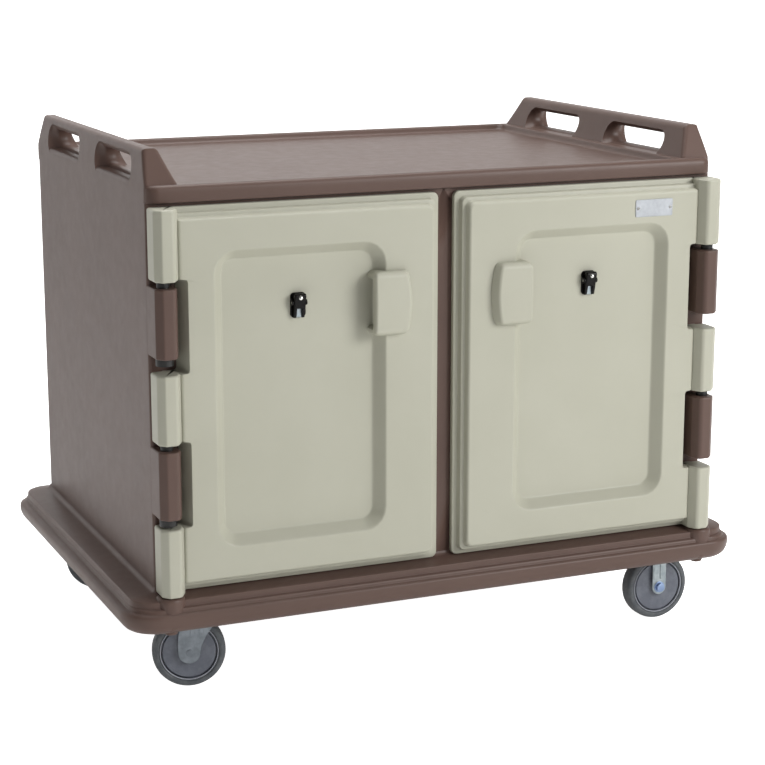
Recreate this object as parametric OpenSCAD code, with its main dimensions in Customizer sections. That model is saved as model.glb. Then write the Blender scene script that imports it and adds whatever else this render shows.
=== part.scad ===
/* Two-compartment meal delivery cart: one moulded shell on four casters, with two
   lift-off doors.  Millimetres.  Origin on the floor at the middle of the cart,
   X along its length, the doors face -Y, Z up. */

/* [Shell] */
// Length of the insulated box, left to right
body_w = 1240; // [1000:10:1500]
// Depth of the insulated box, front to back
body_d = 830; // [680:10:1000]
// Thickness of the back wall
wall = 32; // [24:1:44]
// Thickness of the end walls, which carry the hinges
end_wall = 74; // [70:1:90]
// Thickness of the wall between the two compartments
divider = 64; // [50:1:100]
// Thickness of the compartment floor above the base ledge
floor_t = 22; // [14:1:40]
// Depth of the frame that the top of a door laps over
head_lap = 24; // [16:1:40]
// Corner radius inside a compartment
cavity_r = 24; // [8:1:40]
// Thickness of the moulded skin over the insulation
skin_t = 6; // [4:0.5:8]

/* [Base] */
// Height of the moulded base, skirt to ledge
base_h = 70; // [60:1:100]
// How far the bumper stands past the ends of the box
bumper_side = 71; // [50:1:90]
// How far the bumper stands past the front and the back of the box
bumper_front = 66; // [62:1:90]
// Corner radius of the bumper in plan
bumper_r = 72; // [40:1:90]
// Depth of the underside pocket that the casters bolt into
pocket_h = 28; // [20:1:34]

/* [Deck] */
// Height of the rounded lip round the top
lip_h = 34; // [24:1:50]
// How far the lip stands past the front and the back of the box
lip_over = 14; // [6:1:20]
// Depth of the tray-shaped deck below the lip
deck_drop = 14; // [6:1:20]
// Height of an end handle above the lip
handle_rise = 66; // [58:1:90]
// Thickness of an end handle at its foot
handle_foot = 68; // [50:1:90]
// Thickness of an end handle along its top
handle_top = 32; // [22:1:44]
// Length of one hand hole
hole_len = 235; // [160:1:260]
// Height of one hand hole
hole_h = 36; // [30:1:40]
// Distance from the middle of a handle to the middle of a hand hole
hole_y = 190; // [150:1:200]

/* [Doors] */
// Height of a door
door_h = 760; // [660:5:900]
// Width of the strip of frame that shows between the doors
door_split = 34; // [20:1:48]
// Gap under and behind a closed door
door_gap = 2; // [1.5:0.1:4]
// Gap between the top of a door and the deck lip
top_gap = 6; // [3:1:12]
// Thickness of a door at its raised field
door_t = 41; // [34:1:46]
// Thickness of the flange round a door
flange_t = 12; // [8:1:16]
// How far the raised field stands in from the flange
field_in = 23; // [14:1:34]
// Depth of the sunk panel in the field
panel_depth = 23; // [14:1:26]
// Distance from the free edge of a door to its sunk panel
panel_in = 124; // [100:1:150]
// Width of the sunk panel
panel_w = 361; // [300:1:380]
// Distance from the ends of a door to its sunk panel
panel_end = 83; // [60:1:110]
// Corner radius of the sunk panel
panel_r = 48; // [20:1:70]

/* [Door pulls] */
// Distance from the free edge of a door to its pull
pull_in = 71; // [60:1:80]
// Width of the pull
pull_w = 87; // [80:1:100]
// Height of the pull
pull_h = 128; // [100:1:150]
// Height of the middle of the pull above the foot of the door
pull_z = 550; // [450:1:580]
// How far the pull stands out from the field
pull_out = 22; // [14:1:22]
// Thickness of the slab that the fingers hook behind
pull_slab = 16; // [12:1:18]

/* [Hinges] */
// Distance from the end of the box in to the hinge axis
hinge_in = 21; // [18:1:30]
// Distance from the front of the box out to the hinge axis
hinge_out = 34; // [31:1:36]
// Radius of the knuckles
knuckle_r = 27; // [22:1:29]
// Length of a knuckle on a door
door_knuckle = 138; // [100:1:140]
// Length of a knuckle on the shell
body_knuckle = 136; // [100:1:138]
// Gap between a shell knuckle and the door knuckle that stands over it
knuckle_gap = 12; // [6:1:16]
// How far the middle door knuckle lies below half height
knuckle_drop = 6; // [0:1:12]
// Radius of a hinge pintle
pintle_r = 12.5; // [9:0.5:15]
// Wall of the nylon bushing round a pintle
bushing_t = 3; // [2:0.5:4]
// Length of a pintle inside each knuckle
pintle_grip = 68; // [40:1:80]

/* [Casters] */
// Diameter of a wheel
wheel_d = 150; // [125:1:160]
// Width of the tread
wheel_w = 36; // [28:1:44]
// Gap between the top of a wheel and the foot of the base
wheel_gap = 14; // [10:1:24]
// Distance from the end of the box in to a rigid caster's axle
rigid_in = 60; // [56:1:120]
// Distance from the end of the box in to a swivel caster's axis
swivel_in = 131; // [125:1:180]
// Distance from the front or back of the box in to the casters
caster_y_in = 74; // [74:1:120]
// Trail of a swivel caster
trail = 39; // [25:1:45]
// Turn of the swivel casters from straight ahead, in degrees
swivel_turn = 14; // [0:1:45]
// Radius of an axle
axle_r = 6; // [5:0.5:8]

/* [Fits] */
// Radial gap of a running or a pressed fit
fit = 0.05; // [0.02:0.01:0.1]
// Gap between parts that turn past each other
run_gap = 0.5; // [0.3:0.1:1]

/* [Tray racks] */
// Number of tray levels in a compartment
levels = 5; // [3:1:6]
// Distance between tray levels
level_pitch = 134; // [90:1:134]
// Height of the lowest ledge above the compartment floor
first_level = 66; // [60:1:80]
// Width of a tray ledge
ledge_w = 22; // [16:1:30]
// Thickness of the rack sheet
rack_t = 3; // [2:0.5:5]

/* [Hidden] */
$fn = 64;

shell_colour = "#6b5a52";
door_colour = "#c6c6b8";
black = "#1e1a18";
steel = "#a8b0b2";
rubber_colour = "#4a4e52";
hub_colour = "#6a6e78";
left = -1;
right = 1;
front = -1;
rear = 1;

half_w = body_w / 2;
half_d = body_d / 2;
wheel_r = wheel_d / 2;
skirt_z = wheel_d + wheel_gap;
ledge_z = skirt_z + base_h;
pocket_z = skirt_z + pocket_h;
door_z = ledge_z + door_gap;
door_top = door_z + door_h;
lip_z = door_top + top_gap;
lip_top = lip_z + lip_h;
deck_z = lip_top - deck_drop;
handle_z = lip_top + handle_rise;
cavity_z = ledge_z + floor_t;
cavity_top = door_top - head_lap;
cavity_h = cavity_top - cavity_z;
cavity_x = divider / 2;
cavity_w = half_w - end_wall - cavity_x;
cavity_back = half_d - wall;

free_x = door_split / 2;
hinge_x = half_w - hinge_in;
hinge_y = -half_d - hinge_out;
door_back = -half_d - door_gap;
door_face = door_back - door_t;
panel_floor = door_face + panel_depth;
pull_face = door_face - pull_out;
notch_back = 6;
notch_step = 7;
field_out = hinge_in + 10;

top_knuckle = door_h - door_knuckle;
mid_knuckle = (door_h - door_knuckle) / 2 - knuckle_drop;
door_knuckles = [0, mid_knuckle, top_knuckle];
body_knuckles = [for (k = [mid_knuckle, top_knuckle]) k - knuckle_gap - body_knuckle];
bushing_r = pintle_r + bushing_t;
boss_r = 28;
boss_below = 7;
collar_h = 14;

clip_x = free_x + 305;
clip_z = door_z + pull_z + 5;
clip_w = 32;
clip_h = 50;
clip_pin_r = 2;
clip_pin_y = panel_floor - 9;
clip_pin_z = clip_z + 6;
plate_size = [88, 1.2, 36];
plate_x = free_x + 445;
plate_z = door_top - 54;

gasket_w = 10;
gasket_t = 4;
gasket_edge = 8;
gasket_rest = 0.3;
magnet = [5, 8, 60];
magnet_levels = [0.25, 0.75];
strike = [12, 1.5, 60];
snug = 0.02;

caster_y = half_d - caster_y_in;
rigid_x = half_w - rigid_in;
swivel_x = -half_w + swivel_in;
plate_t = 5;
top_plate = [104, 84];
bolt_dx = 40;
bolt_dy = 30;
bolt_r = 4;
bolt_len = 24;
fork_gap = wheel_w / 2 + 2;
fork_t = 3.5;
crown_top = pocket_z - plate_t - 14;
kingpin_r = 8;
crown_t = 8;
head_t = 4;
tyre_r = 0.8 * wheel_r;

screw_r = 3;
screw_len = 14;
rack_front = 30;
rack_d = body_d - wall - 2 * rack_front;
rack_y = -half_d + rack_front;
rack_rise = first_level + (levels - 1) * level_pitch + 20;
screw_ys = [rack_y + 90, rack_y + rack_d - 90];
screw_zs = [cavity_z + cavity_r + 12, cavity_z + first_level + (levels - 1.5) * level_pitch];

module rounded(w, h, r) {
    square([w - 2 * r, h], center = true);
    square([w, h - 2 * r], center = true);
    for (x = [-1, 1], y = [-1, 1])
        translate([x * (w / 2 - r), y * (h / 2 - r)]) circle(r);
}

// A flat outline drawn in X and Z, with its thickness t running from y towards the front
module facing(y, t) {
    translate([0, y, 0]) rotate([90, 0, 0]) linear_extrude(t) children();
}

// A flat outline drawn in Y and Z, with its thickness t running from x towards +X
module sideways(x, t) {
    translate([x, 0, 0]) rotate([90, 0, 90]) linear_extrude(t) children();
}

// The side of the cart: s is left or right; children are drawn for the right side
module side(s) {
    mirror([s < 0 ? 1 : 0, 0, 0]) children();
}

module hinge_rod(r, z, h) {
    translate([hinge_x, hinge_y, z]) cylinder(r = r, h = h);
}

// ---- shell ----

// Layers of the base: foot, height, overhang at the ends, overhang at the front and back
base_layers = [
    [0, 14, bumper_side - 9, bumper_front - 9],
    [14, base_h - 32, bumper_side, bumper_front],
    [base_h - 18, 10, bumper_side - 11, bumper_front - 10],
    [base_h - 8, 8, bumper_side - 20, bumper_front - 18]
];

module base() {
    for (l = base_layers)
        translate([0, 0, skirt_z + l[0]]) linear_extrude(l[1])
            rounded(body_w + 2 * l[2], body_d + 2 * l[3], bumper_r - bumper_side + l[2]);
}

module end_handle() {
    outer = half_w - 7;
    foot = outer - handle_foot;
    slope = 38;
    intersection() {
        translate([0, half_d, 0]) rotate([90, 0, 0]) linear_extrude(body_d)
            polygon([[outer, lip_z], [outer, handle_z], [outer - handle_top, handle_z],
                [foot, deck_z], [foot, lip_z]]);
        sideways(foot - 1, handle_foot + 2)
            polygon([[-half_d, lip_z], [half_d, lip_z], [half_d, lip_top - 4],
                [half_d - slope, handle_z], [-half_d + slope, handle_z],
                [-half_d, lip_top - 4]]);
    }
}

module hand_holes() {
    hole_z = handle_z - 26 - hole_h / 2;
    for (y = [-hole_y, hole_y]) {
        sideways(half_w - handle_foot - 30, handle_foot + 60)
            translate([y, hole_z]) rounded(hole_len, hole_h, hole_h / 2 - 0.5);
    }
}

module body_knuckle_at(z) {
    hinge_rod(knuckle_r, z, body_knuckle);
    translate([hinge_x, hinge_y, z]) cube([hinge_in, hinge_out + 5, body_knuckle]);
}

module shell_end() {
    end_handle();
    for (k = body_knuckles) body_knuckle_at(door_z + k);
    hinge_rod(boss_r, skirt_z - boss_below, base_h + boss_below);
}

module shell_end_cuts() {
    hand_holes();
    translate([0, 0, cavity_z]) {
        facing(cavity_back, body_d)
            translate([cavity_x + cavity_w / 2, cavity_h / 2]) rounded(cavity_w, cavity_h, cavity_r);
    }
    for (k = body_knuckles)
        hinge_rod(pintle_r + fit, door_z + k - 1, body_knuckle + 2);
    hinge_rod(pintle_r + fit, ledge_z - pintle_grip * 0.7, pintle_grip);
    screw_holes();
}

module screw_holes() {
    for (x = [cavity_x - screw_len, cavity_x + cavity_w], y = screw_ys, z = screw_zs)
        translate([x, y, z]) rotate([0, 90, 0]) cylinder(r = screw_r + fit, h = screw_len);
}

module body_shell() color(shell_colour) difference() {
    union() {
        translate([-half_w, -half_d, skirt_z + 1])
            cube([body_w, body_d, lip_z - skirt_z]);
        base();
        translate([0, 0, lip_z]) linear_extrude(lip_h)
            rounded(body_w, body_d + 2 * lip_over, 26);
        for (s = [left, right]) side(s) shell_end();
    }
    for (s = [left, right]) side(s) shell_end_cuts();
    translate([0, 0, skirt_z - boss_below - 1]) linear_extrude(pocket_h + boss_below + 1)
        rounded(body_w + 16, body_d + 16, 40);
    translate([0, 0, deck_z]) linear_extrude(deck_drop + 1)
        rounded(body_w - 2 * (handle_foot + 7), body_d - 20, 30);
    for (s = [left, right], f = magnet_levels) side(s) strike_shape(f, snug);
    all_caster_bolts(fit);
    insulation();
}

// Foam that fills the moulding: two ends, back, divider, top and floor in one piece
module insulation() {
    low = pocket_z + bolt_len;
    back_y = cavity_back + skin_t;
    front_y = -half_d + 4 * skin_t;
    w = body_w - 2 * skin_t;
    d = half_d - skin_t - front_y;
    end_t = end_wall - 2 * skin_t;
    translate([-w / 2, front_y, low]) cube([w, d, cavity_z - skin_t - low]);
    translate([-w / 2, front_y, cavity_top + skin_t]) cube([w, d, deck_z - cavity_top - 2 * skin_t]);
    translate([-w / 2, back_y, low]) cube([w, half_d - skin_t - back_y, deck_z - skin_t - low]);
    for (x = [-w / 2, w / 2 - end_t]) translate([x, front_y, low]) cube([end_t, d, deck_z - skin_t - low]);
    translate([-cavity_x + skin_t, front_y, low]) cube([divider - 2 * skin_t, d, deck_z - skin_t - low]);
}

module wall_insulation() color("#d8c8a0") difference() {
    insulation();
    for (s = [left, right]) side(s) screw_holes();
}

// ---- doors, drawn for the right side ----

// Outline of a door: its edge is drawn in by inset, its hinge edge by outer, and a notch
// for each shell knuckle goes in by notch past the clearance that the knuckle needs
module door_outline(inset, outer, notch, r) {
    x0 = free_x + inset;
    x1 = hinge_x - outer;
    difference() {
        translate([(x0 + x1) / 2, door_h / 2]) rounded(x1 - x0, door_h - 2 * inset, r);
        for (z = [door_knuckle, mid_knuckle + door_knuckle]) {
            gap = (z == door_knuckle ? mid_knuckle : top_knuckle) - z;
            translate([hinge_x - knuckle_r - notch_back - notch, z]) square([2 * end_wall, gap]);
        }
    }
}

module pull_block() {
    x0 = free_x + pull_in;
    z0 = pull_z - pull_h / 2;
    translate([0, 0, door_z]) {
        facing(panel_floor + 1, pull_out + panel_depth + 1)
            translate([x0 + pull_w / 2, pull_z]) rounded(pull_w, pull_h, 12);
    }
}

module pull_pocket() {
    x0 = free_x + panel_in + 6;
    margin = 12;
    translate([x0, pull_face + pull_slab, door_z + pull_z - pull_h / 2 + margin])
        cube([60, panel_floor - pull_face - pull_slab, pull_h - 2 * margin]);
}

module door() difference() {
    union() {
        door_panel();
        pull_block();
    }
    pull_pocket();
}

module door_panel() {
    difference() {
        union() {
            translate([0, 0, door_z]) {
                facing(door_back, flange_t) door_outline(0, 0, 0, 12);
                facing(door_back, (door_t + flange_t) / 2)
                    door_outline(field_in / 2, field_out / 2, notch_step, 12);
                facing(door_back, door_t) door_outline(field_in, field_out, 2 * notch_step, 12);
            }
            for (k = door_knuckles) {
                hinge_rod(knuckle_r, door_z + k, door_knuckle);
                translate([hinge_x - field_out - 4, hinge_y - 6, door_z + k])
                    cube([field_out + 4, hinge_out - door_gap + 6, door_knuckle]);
            }
        }
        translate([0, 0, door_z]) for (step = [0, 1]) {
            facing(door_face + panel_depth * (step + 1) / 2, door_t)
                translate([free_x + panel_in + panel_w / 2, door_h / 2])
                    rounded(panel_w - 24 * step, door_h - 2 * panel_end - 24 * step, panel_r - 12 * step);
        }
        for (k = door_knuckles) hinge_rod(bushing_r + fit, door_z + k - 1, door_knuckle + 2);
        gasket_ring(snug);
        for (f = magnet_levels) magnet_shape(f, snug);
    }
}

module gasket_ring(grow) {
    w = cavity_w + 2 * gasket_edge;
    h = cavity_h + 2 * gasket_edge;
    translate([0, 0, cavity_z])
        facing(door_back + door_gap - gasket_rest + grow, gasket_t + door_gap + 2 * grow)
        translate([cavity_x + cavity_w / 2, cavity_h / 2]) difference() {
            rounded(w + 2 * grow, h + 2 * grow, 24);
            rounded(w - 2 * gasket_w - 2 * grow, h - 2 * gasket_w - 2 * grow, 14);
        }
}

module magnet_shape(level, grow) {
    translate([free_x + 1 - grow, door_back - magnet[1] + 1 - grow,
        door_z + level * door_h - magnet[2] / 2 - grow])
        cube([magnet[0] + 2 * grow, magnet[1] + 2 * grow, magnet[2] + 2 * grow]);
}

module strike_shape(level, grow) {
    translate([free_x + 1.5 - grow, -half_d - grow,
        door_z + level * door_h - strike[2] / 2 - grow])
        cube([strike[0] + 2 * grow, strike[1] + 2 * grow, strike[2] + 2 * grow]);
}

module left_door() color(door_colour) side(left) door();
module right_door() color(door_colour) side(right) door();
module left_door_gasket() color(black) side(left) gasket_ring(0);
module right_door_gasket() color(black) side(right) gasket_ring(0);
module left_door_magnets() color(black) side(left) for (f = magnet_levels) magnet_shape(f, 0);
module right_door_magnets() color(black) side(right) for (f = magnet_levels) magnet_shape(f, 0);
module strike_plates() color(steel)
    for (s = [left, right], f = magnet_levels) side(s) strike_shape(f, 0);

// ---- hinges ----

// Three pintles stand up, one from the base and one from each shell knuckle
module pintles(reach) {
    hinge_rod(pintle_r, ledge_z - pintle_grip * 0.7 + 1, pintle_grip * 0.7 - 1 + pintle_grip);
    for (k = body_knuckles) {
        foot = door_z + k + body_knuckle - pintle_grip - reach;
        hinge_rod(pintle_r, foot, pintle_grip + knuckle_gap + pintle_grip + reach);
    }
}

module bushings() {
    for (k = door_knuckles) difference() {
        hinge_rod(bushing_r, door_z + k + run_gap, pintle_grip + 8);
        hinge_rod(pintle_r + fit, door_z + k - 1, pintle_grip + 20);
    }
}

// Long pintles on the left run on below their knuckles and carry anti-lift collars
left_reach = body_knuckle - pintle_grip + collar_h;
module left_hinge_collars() color(black) side(left)
    for (k = body_knuckles) difference() {
        hinge_rod(pintle_r + 5, door_z + k - collar_h, collar_h - 0.3);
        hinge_rod(pintle_r + fit, door_z + k - collar_h - 1, collar_h + 2);
    }
module left_hinge_pintles() color(black) side(left) pintles(left_reach);
module right_hinge_pintles() color(black) side(right) pintles(0);
module left_hinge_bushings() color(black) side(left) bushings();
module right_hinge_bushings() color(black) side(right) bushings();

// ---- menu clips, drawn for the right side ----

module clip_rod(r, l) {
    translate([clip_x - l / 2, clip_pin_y, clip_pin_z]) rotate([0, 90, 0]) cylinder(r = r, h = l);
}

module clip_plate() difference() {
    union() {
        translate([0, 0, clip_z]) facing(panel_floor, 2.5)
            translate([clip_x, 0]) rounded(clip_w, clip_h, 8);
        for (s = [-1, 1]) translate([clip_x + s * (clip_w / 2 - 2) - 1.5, 0, 0])
            sideways(0, 3) union() {
                translate([clip_pin_y, clip_pin_z]) circle(5);
                translate([clip_pin_y, clip_pin_z - 5])
                    square([panel_floor - clip_pin_y - 1, 10]);
            }
    }
    clip_rod(clip_pin_r + fit, clip_w + 10);
}

module clip_lever() {
    w = clip_w - 8;
    difference() {
        translate([0, clip_pin_y, clip_pin_z]) sideways(clip_x - w / 2, w)
            polygon([[-6, 2], [-11, 14], [-7, 18], [-1, 16], [2, 5], [4.5, 0], [4.5, -5],
                [6.1, -28], [3, -31], [0, -28], [-5, -5]]);
        clip_rod(clip_pin_r + fit, clip_w);
        translate([clip_x - 4, panel_floor - 20, clip_pin_z - 32]) cube([8, 30, 14]);
    }
}

module clip_rivet() {
    translate([clip_x, clip_pin_y - 10.4, clip_pin_z + 10]) sphere(4);
}

module left_clip_plate() color(black) side(left) clip_plate();
module right_clip_plate() color(black) side(right) clip_plate();
module left_clip_pin() color(steel) side(left) clip_rod(clip_pin_r, clip_w);
module right_clip_pin() color(steel) side(right) clip_rod(clip_pin_r, clip_w);
module left_clip_lever() color(black) side(left) difference() { clip_lever(); clip_rivet(); }
module right_clip_lever() color(black) side(right) difference() { clip_lever(); clip_rivet(); }
module left_clip_rivet() color(steel) side(left) clip_rivet();
module right_clip_rivet() color(steel) side(right) clip_rivet();

// ---- name plate ----

module name_plate() color("silver") difference() {
    translate([plate_x, door_face - plate_size[1] / 2, plate_z]) cube(plate_size, center = true);
    for (s = [-1, 1]) translate([plate_x + s * 38, door_face + 1, plate_z])
        rotate([90, 0, 0]) cylinder(r = 1.5 + fit, h = 4);
}

module name_plate_rivets() color(steel) for (s = [-1, 1])
    translate([plate_x + s * 38, door_face, plate_z]) rotate([90, 0, 0]) {
        cylinder(r = 1.5, h = plate_size[1]);
        translate([0, 0, plate_size[1]]) cylinder(r = 3, h = 1);
    }

// ---- tray racks, drawn for the right side ----

// One rack sheet on a wall at x, with its ledges reaching in the direction d
module rack(x, d) {
    flip = d < 0 ? rack_t : 0;
    difference() {
        union() {
            translate([x - flip, rack_y, cavity_z + cavity_r])
                cube([rack_t, rack_d, rack_rise - cavity_r]);
            for (n = [0 : levels - 1])
                translate([d > 0 ? x : x - ledge_w, rack_y, cavity_z + first_level + n * level_pitch])
                    cube([ledge_w, rack_d, rack_t]);
        }
        for (y = screw_ys, z = screw_zs) translate([x - 2 * rack_t, y, z])
            rotate([0, 90, 0]) cylinder(r = screw_r + fit, h = 4 * rack_t);
    }
}

module racks() {
    rack(cavity_x, 1);
    rack(cavity_x + cavity_w, -1);
}

module wall_screws() {
    for (y = screw_ys, z = screw_zs) {
        translate([cavity_x - screw_len + 1, y, z]) rotate([0, 90, 0]) {
            cylinder(r = screw_r, h = screw_len - 1 + rack_t);
            translate([0, 0, screw_len - 1 + rack_t]) cylinder(r = 6, h = 2.5);
        }
        translate([cavity_x + cavity_w + screw_len - 1, y, z]) rotate([0, -90, 0]) {
            cylinder(r = screw_r, h = screw_len - 1 + rack_t);
            translate([0, 0, screw_len - 1 + rack_t]) cylinder(r = 6, h = 2.5);
        }
    }
}

module left_tray_racks() color(steel) side(left) racks();
module right_tray_racks() color(steel) side(right) racks();
module rack_screws() color(steel) for (s = [left, right]) side(s) wall_screws();

// ---- casters ----

// Moves a caster drawn at the origin to its corner: e is front or rear
module at_swivel(e) {
    translate([swivel_x, e * caster_y, 0]) rotate([0, 0, -swivel_turn]) children();
}
module at_fixed_plate(e) { translate([swivel_x, e * caster_y, 0]) children(); }
module at_rigid(e) { translate([rigid_x, e * caster_y, 0]) children(); }
module at_swivel_wheel(e) { at_swivel(e) translate([-trail, 0, 0]) children(); }

module plate_with_holes() {
    difference() {
        linear_extrude(plate_t) rounded(top_plate[0], top_plate[1], 6);
        for (x = [-bolt_dx, bolt_dx], y = [-bolt_dy, bolt_dy])
            translate([x, y, -1]) cylinder(r = bolt_r + fit, h = plate_t + 2);
    }
}

module plate_bolts(grow) {
    for (x = [-bolt_dx, bolt_dx], y = [-bolt_dy, bolt_dy])
        translate([x, y, pocket_z - plate_t]) {
            cylinder(r = bolt_r + grow, h = bolt_len);
            if (grow == 0) translate([0, 0, -5]) cylinder(r = 6.5, h = 5, $fn = 6);
        }
}

module all_caster_bolts(grow) {
    for (e = [front, rear]) {
        at_fixed_plate(e) plate_bolts(grow);
        at_rigid(e) plate_bolts(grow);
    }
}

module caster_bolts() color(steel) all_caster_bolts(0);

// Top plate with the upper raceway and the headed kingpin that holds the fork up
module swivel_plate() {
    translate([0, 0, pocket_z - plate_t]) plate_with_holes();
    translate([0, 0, crown_top + run_gap]) cylinder(r = 27, h = pocket_z - plate_t - crown_top - run_gap);
    translate([0, 0, crown_top - crown_t - head_t]) cylinder(r = kingpin_r, h = crown_t + head_t + 1);
    translate([0, 0, crown_top - crown_t - head_t]) cylinder(r = 12, h = head_t - run_gap);
}

// Side view of a swivel leg: round at the axle, flaring up and forward to the crown
module swivel_leg() {
    foot = 22;
    translate([-trail, wheel_r]) circle(foot + 2);
    polygon([[-trail - foot, wheel_r], [-trail + foot, wheel_r - 6], [30, crown_top - 14],
        [30, crown_top], [-trail - 8, crown_top], [-trail - foot, crown_top - 34]]);
}

module swivel_fork() difference() {
    union() {
        for (y = [-fork_gap, fork_gap + fork_t]) facing(y, fork_t) swivel_leg();
        translate([-trail - 8, -fork_gap - fork_t, crown_top - crown_t])
            cube([trail + 38, 2 * (fork_gap + fork_t), crown_t]);
    }
    translate([0, 0, crown_top - 20]) cylinder(r = kingpin_r + fit, h = 40);
    axle_bore(-trail);
}

module axle_bore(x) {
    translate([x, 40, wheel_r]) rotate([90, 0, 0]) cylinder(r = axle_r + fit, h = 80);
}

module rigid_fork() difference() {
    union() {
        translate([0, 0, pocket_z - plate_t]) plate_with_holes();
        for (y = [-fork_gap, fork_gap + fork_t]) facing(y, fork_t) {
            translate([0, wheel_r]) circle(17);
            translate([-17, wheel_r]) square([34, pocket_z - plate_t - wheel_r + 1]);
        }
    }
    axle_bore(0);
}

// Headed bolt from the outside, and its nut on the far leg; o is the outer side, front or rear
module axle(o) {
    leg = fork_gap + fork_t;
    rotate([o * 90, 0, 0]) translate([0, o * wheel_r, 0]) {
        translate([0, 0, -leg - 9]) cylinder(r = axle_r, h = 2 * leg + 9);
        translate([0, 0, leg]) cylinder(r = 10, h = 7, $fn = 6);
        translate([0, 0, -leg - 7]) difference() {
            cylinder(r = 10, h = 7, $fn = 6);
            translate([0, 0, -1]) cylinder(r = axle_r + fit, h = 9);
        }
    }
}

module tyre_ring() {
    translate([0, 0, wheel_r]) rotate([90, 0, 0]) rotate_extrude($fn = 96)
        translate([tyre_r, 0]) polygon([[0, -wheel_w / 2 + 2], [wheel_r - tyre_r - 5, -wheel_w / 2],
            [wheel_r - tyre_r, -wheel_w / 2 + 5], [wheel_r - tyre_r, wheel_w / 2 - 5],
            [wheel_r - tyre_r - 5, wheel_w / 2], [0, wheel_w / 2 - 2]]);
}

// Wheel centre: rim, dished web and a boss that almost fills the fork
module hub_disc() {
    boss = 16;
    translate([0, 0, wheel_r]) rotate([90, 0, 0]) rotate_extrude($fn = 96)
        polygon([[axle_r + fit, -wheel_w / 2 - 1], [boss, -wheel_w / 2 - 1], [boss + 5, -6],
            [tyre_r - 12, -5], [tyre_r - 8, -wheel_w / 2 + 3], [tyre_r - 0.01, -wheel_w / 2 + 3],
            [tyre_r - 0.01, wheel_w / 2 - 3], [tyre_r - 8, wheel_w / 2 - 3], [tyre_r - 12, 5],
            [boss + 5, 6], [boss, wheel_w / 2 + 1], [axle_r + fit, wheel_w / 2 + 1]]);
}

module front_left_plate() color(steel) at_fixed_plate(front) swivel_plate();
module front_left_fork() color(steel) at_swivel(front) swivel_fork();
module front_left_axle() color(steel) at_swivel_wheel(front) axle(1);
module front_left_hub() color(hub_colour) at_swivel_wheel(front) hub_disc();
module front_left_tyre() color(rubber_colour) at_swivel_wheel(front) tyre_ring();
module rear_left_plate() color(steel) at_fixed_plate(rear) swivel_plate();
module rear_left_fork() color(steel) at_swivel(rear) swivel_fork();
module rear_left_axle() color(steel) at_swivel_wheel(rear) axle(1);
module rear_left_hub() color(hub_colour) at_swivel_wheel(rear) hub_disc();
module rear_left_tyre() color(rubber_colour) at_swivel_wheel(rear) tyre_ring();
module front_right_fork() color(steel) at_rigid(front) rigid_fork();
module front_right_axle() color(steel) at_rigid(front) axle(1);
module front_right_hub() color(hub_colour) at_rigid(front) hub_disc();
module front_right_tyre() color(rubber_colour) at_rigid(front) tyre_ring();
module rear_right_fork() color(steel) at_rigid(rear) rigid_fork();
module rear_right_axle() color(steel) at_rigid(rear) axle(1);
module rear_right_hub() color(hub_colour) at_rigid(rear) hub_disc();
module rear_right_tyre() color(rubber_colour) at_rigid(rear) tyre_ring();

body_shell();
wall_insulation();
left_door();
right_door();
left_door_gasket();
right_door_gasket();
left_hinge_pintles();
right_hinge_pintles();
left_hinge_collars();
left_hinge_bushings();
right_hinge_bushings();
left_door_magnets();
right_door_magnets();
strike_plates();
left_clip_plate();
right_clip_plate();
left_clip_pin();
right_clip_pin();
left_clip_lever();
right_clip_lever();
left_clip_rivet();
right_clip_rivet();
name_plate();
name_plate_rivets();
left_tray_racks();
right_tray_racks();
rack_screws();
caster_bolts();
front_left_plate();
front_left_fork();
front_left_axle();
front_left_hub();
front_left_tyre();
rear_left_plate();
rear_left_fork();
rear_left_axle();
rear_left_hub();
rear_left_tyre();
front_right_fork();
front_right_axle();
front_right_hub();
front_right_tyre();
rear_right_fork();
rear_right_axle();
rear_right_hub();
rear_right_tyre();
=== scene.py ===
"""Looks of the two-compartment meal delivery cart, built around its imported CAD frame.

Every surface is worked out in millimetres, in the frame of the CAD model (origin on the floor,
X along the cart, the doors facing -Y, Z up), and put into its mesh in metres.
"""

import logging
import math
from collections.abc import Callable, Sequence
from dataclasses import dataclass
from enum import Enum

import bmesh
import bpy
import numpy as np
from mathutils import Euler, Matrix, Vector

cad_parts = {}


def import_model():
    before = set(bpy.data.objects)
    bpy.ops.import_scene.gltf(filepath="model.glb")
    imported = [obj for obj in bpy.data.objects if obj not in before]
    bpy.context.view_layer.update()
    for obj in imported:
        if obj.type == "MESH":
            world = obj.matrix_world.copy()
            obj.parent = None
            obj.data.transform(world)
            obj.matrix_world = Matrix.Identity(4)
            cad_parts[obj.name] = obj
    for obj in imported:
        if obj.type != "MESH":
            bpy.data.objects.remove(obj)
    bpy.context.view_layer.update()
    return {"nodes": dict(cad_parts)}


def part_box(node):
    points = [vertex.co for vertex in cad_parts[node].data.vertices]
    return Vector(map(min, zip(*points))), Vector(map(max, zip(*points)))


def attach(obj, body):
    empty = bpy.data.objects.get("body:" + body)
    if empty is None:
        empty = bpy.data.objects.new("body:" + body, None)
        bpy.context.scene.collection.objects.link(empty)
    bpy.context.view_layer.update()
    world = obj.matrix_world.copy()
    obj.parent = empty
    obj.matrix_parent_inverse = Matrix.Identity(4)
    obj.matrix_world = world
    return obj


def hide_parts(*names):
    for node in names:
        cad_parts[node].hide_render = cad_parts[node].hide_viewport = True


LOG = logging.getLogger("meal_cart")
METRE = 1000.0
SHARED_SLOTS = {"tyre_ring": "tyre_rubber"}

Points = np.ndarray
Socket = bpy.types.NodeSocket
Material = bpy.types.Material


class Named(Enum):
    """A choice that CAD node names spell in small letters."""

    @property
    def word(self) -> str:
        """The name as the CAD nodes spell it."""
        return self.name.lower()


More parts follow.
